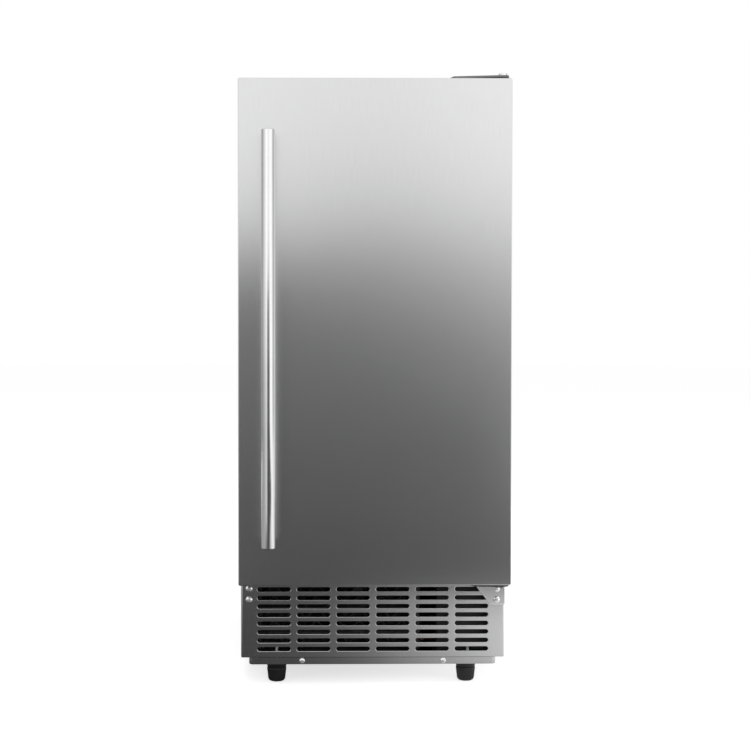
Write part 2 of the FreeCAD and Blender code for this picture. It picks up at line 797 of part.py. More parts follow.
def door_gasket():
    """Magnetic gasket: the sealing bead, its fold and the dart in the channel."""
    inset = (gasket_width - dart_width) / 2
    bead_y = (door_back_y, face_y - gasket_clearance)
    bead = gasket_ring(0, gasket_width, bead_y)
    fold_y = (door_back_y + 2.2, door_back_y + 4.6)
    fold = gasket_ring(-1, 4, fold_y)
    inner_fold = gasket_ring(gasket_width - 3, 5, fold_y)
    dart = gasket_ring(inset, dart_width, (door_back_y - dart_depth, door_back_y + 0.5))
    return joined([bead.cut([fold, inner_fold]), dart])


def door_foam(foamed_in):
    """Foam core of the door."""
    rear = door_back_y - inner_panel
    t = door_sheet
    core = block((-door_half + t, door_half - t), (door_y + t, rear - t), (door_z + t, door_top_z - t))
    mouth = block((-door_half + hem_width, door_half - hem_width), (rear - 2 * t, rear),
                  (door_z + hem_width, door_top_z - hem_width))
    border = dike_ring(-inner_panel, (rear - 1, door_back_y + dike_depth - inner_panel))
    inset = (gasket_width - dart_width) / 2 - inner_panel
    channel = gasket_ring(inset, dart_width + 2 * inner_panel,
                          (door_back_y - dart_depth - inner_panel, rear + 1))
    return joined([core, mouth, border]).cut([channel, *foamed_in])


def handle_bar():
    x = -door_half + handle_inset
    y = door_y - handle_gap - handle_diameter / 2
    top = door_top_z - handle_drop
    bar = rod(Vector(x, y, top - handle_length), Vector(x, y, top), handle_diameter / 2)
    return bar.makeChamfer(0.8, [e for e in bar.Edges if isinstance(e.Curve, Part.Circle)])


def handle_posts():
    """Two posts with studs, coped to the bar and fixed through the door's skin."""
    posts = []
    for point in handle_points():
        bar_axis = point - Vector(0, handle_gap + handle_diameter / 2, 0)
        post = rod(bar_axis, point, post_radius)
        stud = small_rod(point - Vector(0, 2, 0), point + Vector(0, post_stud_depth, 0), post_stud_radius)
        plate = block((point.x - backing_half, point.x + backing_half),
                      (door_y + door_sheet, door_y + door_sheet + backing_thickness),
                      (point.z - backing_half, point.z + backing_half))
        around_bar = rod(bar_axis - Vector(0, 0, 40), bar_axis + Vector(0, 0, 40), handle_diameter / 2)
        posts.append(joined([post, stud, plate]).cut(around_bar))
    return posts


# ---------------------------------------------------------------------------
# Ice-making section
# ---------------------------------------------------------------------------
cells_width = cell_columns * cell_pitch + cell_wall
cells_height = cell_rows * cell_pitch + cell_wall
plate_y = liner_y - evaporator_rear_gap                     # back sheet of the evaporator
cells_y = plate_y - cell_depth                              # open front of the cells
cells_z = liner_z - evaporator_top_gap - cells_height
cheek_x = cells_width / 2 + 3                               # inner face of each cheek
cheek_outer_x = cheek_x + cheek_thickness
curtain_y = cells_y - 12
curtain_z = cells_z + cells_height + 22
coil_y = plate_y + coil_radius
coil_bend = cell_pitch / 2
coil_reach = cells_width / 2 - coil_bend - 6                # straight runs of the coil, each side
trough_x = cheek_outer_x + pump_bay                         # pump side of the trough
evaporator_x = min(0.0, liner_x - pump_side_gap - trough_x) # middle, or further left where the pump needs it
trough_z = cells_z - trough_height - 14
trough_y = (curtain_y + 16, liner_y - 24)
pump_radius = 12.5
pump_x = trough_x - trough_wall - pump_radius - 1
pump_y = (trough_y[0] + trough_y[1]) / 2
pump_low = trough_z + trough_wall
pump_motor_z = trough_z + trough_height + 4
pump_hose_radius = 5.0
pump_hose_y = pump_y - pump_radius - pump_hose_radius - 1
spray_y = cells_y + distributor_radius
spray_z = cells_z + cells_height + distributor_radius + 3
float_post_radius = 2.5
float_height = 14.0
float_seat = trough_z + trough_wall + 6
float_cap = trough_z + trough_height - 10


def evaporator_plate():
    """Cube mould: a back sheet and an open grid whose shelves fall towards the front."""
    x0, z0 = -cells_width / 2, cells_z
    body = block((x0, x0 + cells_width), (cells_y, plate_y), (z0 - cell_slope, z0 + cells_height))
    cells = []
    for column in range(cell_columns):
        for row in range(cell_rows):
            x = x0 + cell_wall + column * cell_pitch
            low = z0 + cell_wall + row * cell_pitch
            high = low + cell_pitch - cell_wall
            back = plate_y - cell_wall
            face = [Vector(x, back, low), Vector(x, back, high), Vector(x, cells_y - 1, high - cell_slope),
                    Vector(x, cells_y - 1, low - cell_slope)]
            cells.append(prism(face, Vector(cell_pitch - cell_wall, 0, 0)))
    under = [Vector(x0 - 1, plate_y, z0 - cell_slope - 1), Vector(x0 - 1, plate_y, z0),
             Vector(x0 - 1, cells_y - 1, z0 - cell_slope), Vector(x0 - 1, cells_y - 1, z0 - cell_slope - 1)]
    return body.cut([Part.makeCompound(cells), prism(under, Vector(cells_width + 2, 0, 0))])


coil_tail_y = coil_y + 16
coil_tail_x = (-coil_reach - 12, -coil_reach + 8)           # both ends, from the middle of the mould
coil_inlet_x, coil_outlet_x = (evaporator_x + x for x in coil_tail_x)
coil_inlet_z = cells_z + (cell_wall + cell_pitch) / 2
coil_outlet_z = coil_inlet_z + (cell_rows - 1) * cell_pitch


def evaporator_coil():
    """Serpentine brazed to the back of the mould, one pass behind each row of cells."""
    start, end = coil_tail_x
    points = [Vector(start, coil_tail_y, coil_inlet_z), Vector(start, coil_y, coil_inlet_z)]
    for row in range(cell_rows - 1):
        side = 1 if row % 2 == 0 else -1
        x = side * (coil_reach + coil_bend)
        z = coil_inlet_z + row * cell_pitch
        points += [Vector(x, coil_y, z), Vector(x, coil_y, z + cell_pitch)]
    points += [Vector(end, coil_y, coil_outlet_z), Vector(end, coil_tail_y, coil_outlet_z)]
    return tube(points, coil_radius, coil_bend * 0.7)


def evaporator_frame():
    """Plastic cradle on the rear wall: two cheeks, a rear bridge and the curtain's ears."""
    t = cheek_thickness
    low, high = trough_z + trough_height - 6, curtain_z + 8
    cheek = block((cheek_x, cheek_outer_x), (cells_y - 2, liner_y), (low, high))
    ear = block((cheek_x, cheek_outer_x), (curtain_y - 8, cells_y), (curtain_z - 10, high))
    foot = block((cheek_x, cheek_x + 16), (liner_y - t, liner_y), (pump_motor_z + 60, high))
    ledge = block((cells_width / 2, cheek_x + 1), (plate_y - 6, plate_y),
                  (cells_z - cell_slope, cells_z + cells_height))
    bore = rod(Vector(cheek_x - 5, curtain_y, curtain_z), Vector(cheek_outer_x + 5, curtain_y, curtain_z),
               curtain_pin_radius + running_clearance)
    window = block((cheek_x - 1, cheek_outer_x + 1), (plate_y + 14, liner_y - 14),
                   (cells_z + 20, cells_z + cells_height - 40))
    side = joined([cheek, ear, foot, ledge]).cut([bore, window])
    hose_hole = small_rod(Vector(cheek_x - 1, spray_y, spray_z),
                          Vector(cheek_outer_x + 1, spray_y, spray_z),
                          pump_hose_radius + 0.4)
    bridge = block((-cheek_x - 1, cheek_x + 1), (liner_y - t, liner_y), (high - 26, high))
    return joined([side.cut(hose_hole), mirrored(side), bridge])


def water_curtain():
    """Flap that hangs in front of the cells and swings out as the ice falls."""
    half = cheek_x - 1.2
    t = curtain_thickness
    low = cells_z - cell_slope - 8
    flap = block((-half, half), (curtain_y - t / 2, curtain_y + t / 2), (low, curtain_z))
    toe = block((-half, half), (curtain_y - t / 2, curtain_y + t / 2 + 5), (low, low + t))
    ribs = [block((x - 1, x + 1), (curtain_y - t / 2 - 3, curtain_y), (low + 10, curtain_z - 12))
            for x in (-half * 0.75, -half * 0.25, half * 0.25, half * 0.75)]
    reach = cheek_outer_x - 0.5
    pin = rod(Vector(-reach, curtain_y, curtain_z), Vector(reach, curtain_y, curtain_z), curtain_pin_radius)
    return joined([flap, toe, pin, *ribs])


def distributor_tube():
    """Tube that lets water run over the mould, with a hole over each column of cells."""
    tube_body = faceted([(distributor_radius, 0), (distributor_radius, 2 * cheek_x)],
                        Vector(-cheek_x, spray_y, spray_z), Vector(1, 0, 0), 12)
    bore = small_rod(Vector(-cheek_x + 3, spray_y, spray_z), Vector(cheek_x + 1, spray_y, spray_z),
                     distributor_radius - 2, 12)
    holes = [small_rod(Vector((i - (cell_columns - 1) / 2) * cell_pitch, spray_y, spray_z),
                       Vector((i - (cell_columns - 1) / 2) * cell_pitch, spray_y - 4, spray_z - 20), 1.5, 6)
             for i in range(cell_columns)]
    return tube_body.cut([bore, *holes])


def float_axis(z):
    return Vector(-cheek_x + 18, pump_y, z)


def water_trough():
    """Open trough under the mould, hung on the cradle, with the float's post."""
    t = trough_wall
    left, right = -cheek_outer_x, trough_x
    rim_z = trough_z + trough_height - 8
    outside = block((left, right), trough_y, (trough_z, rim_z))
    outside = outside.makeChamfer(6, [e for e in outside.Edges if runs_along(e, Vector(0, 0, 1))])
    outside = outside.makeChamfer(3, [e for e in outside.Edges if at(e.BoundBox.ZMax, trough_z)])
    space = block((left + t, right - t), (trough_y[0] + t, trough_y[1] - t), (trough_z + t, rim_z + 1))
    space = space.makeChamfer(6 - t / 2, [e for e in space.Edges if runs_along(e, Vector(0, 0, 1))])
    hooks = [block((x, x + cheek_thickness), (trough_y[1] - t, liner_y), (trough_z + 20, rim_z - 2))
             for x in (left + 8, cheek_x)]
    post = small_rod(float_axis(trough_z + t - 1), float_axis(float_cap), float_post_radius, 12)
    cap = small_rod(float_axis(float_cap), float_axis(float_cap + 2), float_post_radius + 2)
    stop = small_rod(float_axis(trough_z + t - 1), float_axis(float_seat - 0.3), float_post_radius + 2)
    return joined([outside.cut(space), *hooks, post, cap, stop])


def float_ring():
    """Level float on the trough's post."""
    outer = faceted([(10, 0), (11, 1), (11, float_height - 1), (10, float_height)],
                    float_axis(float_seat), sides=12)
    bore = small_rod(float_axis(float_seat - 1), float_axis(float_cap), float_post_radius + 0.4, 12)
    return outer.cut(bore)


def water_pump():
    """Circulation pump: motor above the water, stem and volute down in the trough."""
    base = Vector(pump_x, pump_y, 0)
    volute = faceted([(pump_radius, pump_low + 2), (pump_radius, pump_low + 16), (6, pump_low + 20)],
                     base, sides=12)
    strainer = faceted([(8, pump_low), (8, pump_low + 3)], base)
    stem = faceted([(6, pump_low + 19), (6, pump_motor_z + 1)], base)
    motor = faceted([(pump_radius, pump_motor_z), (pump_radius, pump_motor_z + 46),
                     (pump_radius - 3, pump_motor_z + 50)], base, sides=12)
    arm = block((cheek_outer_x, pump_x), (pump_y - 8, pump_y + 8), (pump_motor_z + 8, pump_motor_z + 12))
    outlet = block((pump_x - 5, pump_x + 5), (pump_hose_y - 5, pump_y), (pump_low + 4, pump_low + 14))
    return joined([volute, strainer, stem, motor, arm, outlet])


def pump_hose():
    """Hose from the volute up to the distributor."""
    points = [Vector(pump_x, pump_hose_y, pump_low + 14), Vector(pump_x, pump_hose_y, spray_z - 36),
              Vector(pump_x, spray_y, spray_z - 14), Vector(pump_x, spray_y, spray_z),
              Vector(cheek_x - 6, spray_y, spray_z)]
    return tube(points, pump_hose_radius, 9)


def ice_level_probe():
    """Thermostat bulb in its clips on the bin's right-hand wall."""
    z = trough_z - 28
    y = (curtain_y, curtain_y + 90)
    bulb = faceted([(4, y[0]), (4, y[1])], Vector(liner_x - 9, 0, z), Vector(0, 1, 0), 12)
    clips = [block((liner_x - 14, liner_x), (c - 5, c + 5), (z - 3, z + 3)) for c in (y[0] + 16, y[1] - 16)]
    return joined([bulb, *clips])


# ---------------------------------------------------------------------------
# Controls over the bin
# ---------------------------------------------------------------------------
control_x = liner_x - liner_corner - 3
control_front = face_y + 16
control_low = liner_z - control_height
fascia_lean = math.atan2(control_rake, control_height)
button_up = control_height * 0.5
window_x = -58.0
window_width = 74.0
window_height = 24.0
window_seat = 1.5
lamp_half = 32.0
lamp_depth = 16.0
lamp_sink = 1.2
lamp_y = control_front + control_rake + 14


def fascia_out():
    """Way out of the leaning fascia."""
    return Vector(0, -math.cos(fascia_lean), -math.sin(fascia_lean))


def on_fascia(x, up, out=0.0):
    """Point on the leaning fascia: up along its slope from its foot, out from its surface."""
    along = Vector(0, -math.sin(fascia_lean), math.cos(fascia_lean))
    return Vector(x, control_front + control_rake, control_low) + along * up + fascia_out() * out


def fascia_slab(x, up, width, height, out, deep):
    """Rectangular block on the fascia: out of its surface by out, into it by deep."""
    slab = Part.makeBox(width, out + deep, height, Vector(-width / 2, -out, -height / 2))
    slab.Placement = FreeCAD.Placement(on_fascia(x, up),
                                       FreeCAD.Rotation(Vector(1, 0, 0), math.degrees(fascia_lean)))
    return slab


def button_x(index):
    return 22.0 + index * button_pitch


def control_housing():
    """Housing under the liner's ceiling, with the leaning fascia."""
    rear = control_front + control_depth
    outline = [(control_front, liner_z), (control_front + control_rake, control_low), (rear, control_low),
               (rear, liner_z)]
    body = prism([Vector(-control_x, y, z) for y, z in outline], Vector(2 * control_x, 0, 0))
    t = control_wall
    inner = [(control_front + t + 1, liner_z - t), (control_front + control_rake + t, control_low + t),
             (rear - t, control_low + t), (rear - t, liner_z - t)]
    space = prism([Vector(-control_x + t, y, z) for y, z in inner], Vector(2 * (control_x - t), 0, 0))
    seat = fascia_slab(window_x, button_up, window_width, window_height, 1, window_seat)
    bores = [small_rod(on_fascia(button_x(i), button_up, 2), on_fascia(button_x(i), button_up, -5),
                       button_radius + button_clearance, button_sides) for i in range(len(button_names))]
    lamp = block((-lamp_half, lamp_half), (lamp_y, lamp_y + lamp_depth),
                 (control_low - 1, control_low + lamp_sink))
    return body.cut(space).cut([seat, *bores, lamp])


def light_lens():
    """Long lens of the bin light, let into the underside of the housing."""
    return block((-lamp_half, lamp_half), (lamp_y, lamp_y + lamp_depth),
                 (control_low - 1.5, control_low + lamp_sink))


def display_window():
    """Smoked window of the display, let into the fascia."""
    return fascia_slab(window_x, button_up, window_width, window_height, 0.4, window_seat)


def button(index):
    """Round push button in its bore, with the plunger behind it."""
    x = button_x(index)
    cap = small_rod(on_fascia(x, button_up, button_travel + 0.6), on_fascia(x, button_up, -5),
                    button_radius,
                    button_sides)
    plunger = small_rod(on_fascia(x, button_up, -4), on_fascia(x, button_up, -9), button_radius / 2)
    return joined([cap, plunger])


# ---------------------------------------------------------------------------
# Machine bay
# ---------------------------------------------------------------------------
condenser_x = (-inside_x + 26, -inside_x + 26 + condenser_width)
condenser_y = (face_y + grille_return + 8, face_y + grille_return + 8 + condenser_depth)
condenser_mid_y = sum(condenser_y) / 2
condenser_low = pan_z + nut_height + 3
condenser_z = (condenser_low, condenser_low + condenser_height)
tube_pitch = (condenser_height - 16 - flat_tube) / (flat_tubes - 1)
fan_x = sum(condenser_x) / 2
fan_z = sum(condenser_z) / 2
shroud_y = condenser_y[1] + 1.5
shroud_bore = fan_radius + fan_tip_clearance
fan_y = shroud_y + shroud_depth / 2
motor_y = shroud_y + shroud_depth + 16
compressor_x = -inside_x + 42 + compressor_radius
compressor_y = rear_inside_y - 50 - compressor_radius
compressor_z = pan_floor_z + grommet_height
drain_x = condenser_x[1] - 24
drain_y = face_y + 215
drain_z = pan_floor_z + 26
liquid_x = condenser_x[1] + 13
drier_y = rear_inside_y - 62
drier_z = drain_z + 50
line_y = rear_inside_y - foam_rear / 2                      # where lines rise in the rear foam
cross_z = bay_rear_z - 22                                   # where the liquid line crosses the bay
valve_x = inside_x - 58
valve_z = bay_rear_z - 52
fill_x = evaporator_x + cheek_x - 34
fill_y = trough_y[1] - 14
fill_z = trough_z + trough_height + 14
gland_x = inside_x - 60
gland_z = floor_z + 34


def condenser_tubes():
    """Micro-channel condenser: two upright headers and flat tubes between them."""
    low, high = condenser_z
    headers = [faceted([(header_radius, low), (header_radius, high)], Vector(x, condenser_mid_y, 0))
               for x in condenser_x]
    flats = [block(condenser_x, condenser_y, (z, z + flat_tube))
             for z in (low + 8 + i * tube_pitch for i in range(flat_tubes))]
    end_plates = [block((x - 1, x + 1), condenser_y, (pan_floor_z, high)) for x in condenser_x]
    return joined([*headers, *flats, *end_plates])


def condenser_fins():
    """Folded aluminium strip between each pair of flat tubes."""
    strips = []
    low_x, high_x = condenser_x[0] + header_radius, condenser_x[1] - header_radius
    step = (high_x - low_x) / fin_folds
    for i in range(flat_tubes - 1):
        low = condenser_low + 8 + i * tube_pitch + flat_tube
        crests = (low, low + tube_pitch - flat_tube - fin_stock)
        under = [Vector(low_x + fold * step, condenser_y[0] + 2, crests[fold % 2])
                 for fold in range(fin_folds + 1)]
        over = [p + Vector(0, 0, fin_stock) for p in under]
        strips.append(prism([*under, *reversed(over)], Vector(0, condenser_depth - 4, 0)))
    return strips


def fan_shroud():
    """Plate behind the condenser with a round duct for the fan."""
    x = (condenser_x[0] - 1, condenser_x[1] + 1)
    plate = block(x, (condenser_y[1], shroud_y), (pan_floor_z, condenser_z[1]))
    centre = Vector(fan_x, 0, fan_z)
    rear = Vector(0, shroud_y + shroud_depth, 0)
    duct = small_rod(centre + Vector(0, shroud_y - 0.5, 0), centre + rear, shroud_bore + 1.5, 24)
    bore = small_rod(centre + Vector(0, condenser_y[1] - 1, 0), centre + rear + Vector(0, 1, 0),
                     shroud_bore, 24)
    lips = [block(x, (condenser_y[1], shroud_y + 8), (z, z + 1.5))
            for z in (pan_floor_z, condenser_z[1] - 1.5)]
    return joined([plate, duct, *lips]).cut(bore)


def fan_blade():
    """Five-bladed axial fan on its hub."""
    centre = Vector(fan_x, fan_y, fan_z)
    hub = faceted([(hub_radius, -9), (hub_radius, 9)], centre, Vector(0, 1, 0), 20)
    shaft_hole = rod(centre - Vector(0, 5, 0), centre + Vector(0, 10, 0),
                     motor_shaft_radius + running_clearance)
    shares = (-1, -0.4, 0.4, 1)
    under = [Vector(0, blade_chord / 2 * k, blade_camber * (1 - k * k)) for k in shares]
    over = [p + Vector(0, 0, blade_stock) for p in reversed(under)]
    blade = prism([*under, *over], Vector(fan_radius + 2, 0, 0))
    blade.rotate(Vector(), Vector(1, 0, 0), blade_pitch)
    blade = blade.common(small_rod(Vector(0, -15, 0), Vector(0, 15, 0), fan_radius, 30))
    blades = []
    for i in range(fan_blades):
        copy = blade.copy()
        copy.rotate(Vector(), Vector(0, 1, 0), 360 * i / fan_blades)
        copy.translate(centre)
        blades.append(copy)
    return joined([hub, *blades]).cut(shaft_hole)


def fan_motor():
    """Motor on three arms from the duct, with its shaft in the fan's hub."""
    centre = Vector(fan_x, 0, fan_z)
    half = motor_half
    body = block((fan_x - half, fan_x + half), (motor_y, motor_y + motor_depth),
                 (fan_z - half, fan_z + half))
    body = body.makeChamfer(6, [e for e in body.Edges if runs_along(e, Vector(0, 1, 0))])
    shaft = rod(centre + Vector(0, fan_y - 3, 0), centre + Vector(0, motor_y + 1, 0), motor_shaft_radius)
    duct = shroud_bore + 1.5
    arms = []
    for angle in (35, 145, 270):
        out = Vector(math.cos(math.radians(angle)), 0, math.sin(math.radians(angle)))
        side = out.cross(Vector(0, 1, 0))
        for near, first_y, last_y in ((14, motor_y + 4, motor_y + 6), (duct, shroud_y + 2, motor_y + 6)):
            corners = [centre + Vector(0, first_y, 0) + out * r + side * s
                       for r, s in ((near, -5), (duct + 2, -5), (duct + 2, 5), (near, 5))]
            arms.append(prism(corners, Vector(0, last_y - first_y, 0)))
    return joined([body, shaft, *arms])


def compressor():
    """Hermetic compressor: domed shell with its weld seam, on a foot plate."""
    r, h = compressor_radius, compressor_height
    base = Vector(compressor_x, compressor_y, compressor_z + plate_stock)
    profile = [(r * 0.7, 0), (r * 0.93, 8), (r, 24), (r, h * 0.52), (r + 2, h * 0.52),
               (r + 2, h * 0.52 + 4),
               (r, h * 0.52 + 4), (r, h * 0.74), (r * 0.9, h * 0.88), (r * 0.72, h * 0.96), (r * 0.45, h)]
    plate = block((compressor_x - r - 12, compressor_x + r + 12),
                  (compressor_y - r + 8, compressor_y + r - 8),
                  (compressor_z, compressor_z + plate_stock + 1))
    plate = plate.makeChamfer(12, [e for e in plate.Edges if runs_along(e, Vector(0, 0, 1))])
    return joined([faceted(profile, base, sides=20), plate])


def compressor_grommets():
    """Rubber feet of the compressor, each with a waist."""
    reach, half = compressor_radius, compressor_radius - 18
    places = [Vector(compressor_x + sx * reach, compressor_y + sy * half, pan_floor_z)
              for sx in (-1, 1) for sy in (-1, 1)]
    profile = [(10, 0), (10, 5), (7.5, 8), (10, 12), (10, grommet_height)]
    return [faceted(profile, p) for p in places]


def terminal_cover():
    """Cover of the start relay on the compressor's right-hand side."""
    x = compressor_x + compressor_radius
    z = compressor_z + compressor_height * 0.26
    box = block((x - 14, x + 22), (compressor_y - 24, compressor_y + 24), (z, z + 38))
    box = box.makeChamfer(4, [e for e in box.Edges if runs_along(e, Vector(1, 0, 0))])
    return box.cut(small_rod(Vector(compressor_x, compressor_y, z - 1),
                             Vector(compressor_x, compressor_y, z + 50),
                             compressor_radius + 1, 48))


def electrical_box():
    """Control box beside the condenser, stepped over the foot's socket."""
    x = (liquid_x + 16, inside_x - 18)
    y = (face_y + grille_return + 12, face_y + grille_return + 122)
    high = bay_z - 22
    step_y = face_y + foot_setback + nut_radius + 4
    step_z = pan_z + nut_height + 3
    outline = [(y[0], step_z), (step_y, step_z), (step_y, pan_floor_z), (y[1], pan_floor_z), (y[1], high),
               (y[0], high)]
    body = prism([Vector(x[0], py, pz) for py, pz in outline], Vector(x[1] - x[0], 0, 0))
    lid = block((x[0] - 1.5, x[1] + 1.5), (y[0] - 1.5, y[1] + 1.5), (high - 8, high + 2))
    lid = lid.makeChamfer(2, [e for e in lid.Edges if runs_along(e, Vector(0, 0, 1))])
    return joined([body, lid])


def filter_drier():
    """Copper filter drier with necked ends."""
    neck = line_radius + 1
    profile = [(neck, 0), (neck, 6), (10, 14), (10, drier_length - 14), (neck, drier_length - 6),
               (neck, drier_length)]
    return faceted(profile, Vector(liquid_x, drier_y, drier_z), sides=12)


def liquid_line():
    """Condenser outlet to the drier, and the drier's outlet up to the mould's coil."""
    low = condenser_z[0] + 14
    feed = tube([Vector(condenser_x[1] + header_radius, condenser_mid_y, low),
                 Vector(liquid_x, condenser_mid_y, low),
                 Vector(liquid_x, drier_y, low), Vector(liquid_x, drier_y, drier_z)], line_radius, 6)
    rise = tube([Vector(liquid_x, drier_y, drier_z + drier_length), Vector(liquid_x, drier_y, cross_z),
                 Vector(coil_inlet_x, drier_y, cross_z), Vector(coil_inlet_x, line_y, cross_z),
                 Vector(coil_inlet_x, line_y, coil_inlet_z), Vector(coil_inlet_x, coil_tail_y,
                                                                    coil_inlet_z)],
                line_radius, 9)
    return [feed, rise]


def suction_line():
    """From the top of the mould's coil, down the rear foam, to the compressor's shell."""
    z = compressor_z + compressor_height * 0.45
    front = compressor_y + compressor_radius + 0.1
    return tube([Vector(coil_outlet_x, coil_tail_y, coil_outlet_z),
                 Vector(coil_outlet_x, line_y, coil_outlet_z),
                 Vector(coil_outlet_x, line_y, z), Vector(coil_outlet_x, front, z)], coil_radius, 12)


def discharge_line():
    """From the compressor's front round the fan to the left-hand header."""
    z = condenser_z[1] - 26
    side = -inside_x + 8
    turn_y = motor_y + motor_depth + 50
    front = compressor_y - compressor_radius - 0.1
    return tube([Vector(compressor_x, front, z), Vector(compressor_x, turn_y, z), Vector(side, turn_y, z),
                 Vector(side, condenser_mid_y, z),
                 Vector(condenser_x[0] - header_radius, condenser_mid_y, z)],
                line_radius, 8)


def hot_gas_valve():
    """Solenoid valve of the harvest cycle, hung under the crossing liquid line."""
    x = (liquid_x + compressor_x) / 2 + 30
    high = cross_z - line_radius
    body = faceted([(7, high - 34), (7, high)], Vector(x, drier_y, 0), sides=6)
    coil = block((x - 15, x + 15), (drier_y - 16, drier_y + 16), (high - 64, high - 33))
    coil = coil.makeChamfer(4, [e for e in coil.Edges if runs_along(e, Vector(0, 0, 1))])
    return joined([body, coil])


def drain_spout(radius, low):
    """Upright rod on the axis of the bin's drain, down to a height."""
    return small_rod(Vector(drain_x, drain_y, low), Vector(drain_x, drain_y, bin_z + 1), radius, 12)


def bin_drain():
    """Strainer in the bin's floor with its spout down through the foam."""
    spout = drain_spout(drain_radius - 2, bay_z - 14)
    plate = small_rod(Vector(drain_x, drain_y, bin_z), Vector(drain_x, drain_y, bin_z + 2), 22, 24)
    bore = small_rod(Vector(drain_x, drain_y, bay_z - 15), Vector(drain_x, drain_y, bin_z - 6),
                     drain_radius - 4, 12)
    slots = [block((drain_x - 14, drain_x + 14), (drain_y + s * 6 - 1.5, drain_y + s * 6 + 1.5),
                   (bin_z - 6.5, bin_z + 3))
             for s in (-2, -1, 0, 1, 2)]
    return joined([spout, plate]).cut([bore, *slots])


def drain_hose():
    """Hose from the bin's spout down and out through the service cover."""
    cover = Vector(drain_x, back_y, drain_z)
    out = Vector(0, 1, 0)
    line = tube([Vector(drain_x, drain_y, bay_z - 3), Vector(drain_x, drain_y, drain_z), cover],
                drain_radius, 28, 12)
    stub = rod(cover, cover + out * rear_reach, drain_radius)
    socket = drain_spout(drain_radius - 2, bay_z - 14)
    bore = small_rod(cover - out * 16, cover + out * (rear_reach + 1), drain_radius - 2.5, 12)
    return joined([line, stub]).cut([socket, bore])


def inlet_valve():
    """Water solenoid valve on the service cover, with its threaded nipple outside."""
    seat = Vector(valve_x, rear_inside_y, valve_z)
    out = Vector(0, 1, 0)
    nipple = rod(seat + out * sheet, seat + out * (sheet + rear_reach), inlet_thread_radius)
    neck = small_rod(seat - out * 4, seat + out * (sheet + 0.5), inlet_neck_radius, 12)
    flange = small_rod(seat - out * 4, seat, 17, 6)
    bore = small_rod(seat - out * 5, seat + out * (sheet + rear_reach + 1), 9, 12)
    body = block((valve_x - 15, valve_x + 15), (rear_inside_y - 36, rear_inside_y - 4),
                 (valve_z - 14, valve_z + 14))
    body = body.makeChamfer(4, [e for e in body.Edges if runs_along(e, out)])
    coil = small_rod(seat + Vector(0, -20, -48), seat + Vector(0, -20, -13), 13, 12)
    outlet = small_rod(Vector(valve_x, line_y, valve_z + 13), Vector(valve_x, line_y, valve_z + 24), 5)
    return joined([nipple, neck, flange, body, coil, outlet]).cut(bore)


def inlet_hose():
    """Water line from the valve, up the rear foam and out over the trough."""
    cross = bay_rear_z + 24
    points = [Vector(valve_x, line_y, valve_z + 24), Vector(valve_x, line_y, cross),
              Vector(fill_x, line_y, cross),
              Vector(fill_x, line_y, fill_z), Vector(fill_x, fill_y, fill_z),
              Vector(fill_x, fill_y, fill_z - 14)]
    return tube(points, inlet_hose_radius, 7)


def power_gland():
    """Hexagonal cable gland in the service cover, open where the supply cord would pass."""
    seat = Vector(gland_x, rear_inside_y, gland_z)
    stages = [(gland_radius + 4, -12), (gland_radius + 4, 0), (gland_radius, 0), (gland_radius, sheet),
              (gland_radius + 4, sheet), (gland_radius + 4, sheet + 5), (gland_radius + 1, sheet + 11)]
    return faceted(stages, seat, Vector(0, 1, 0), 6).cut(
        rod(seat - Vector(0, 14, 0), seat + Vector(0, 20, 0), cord_radius))


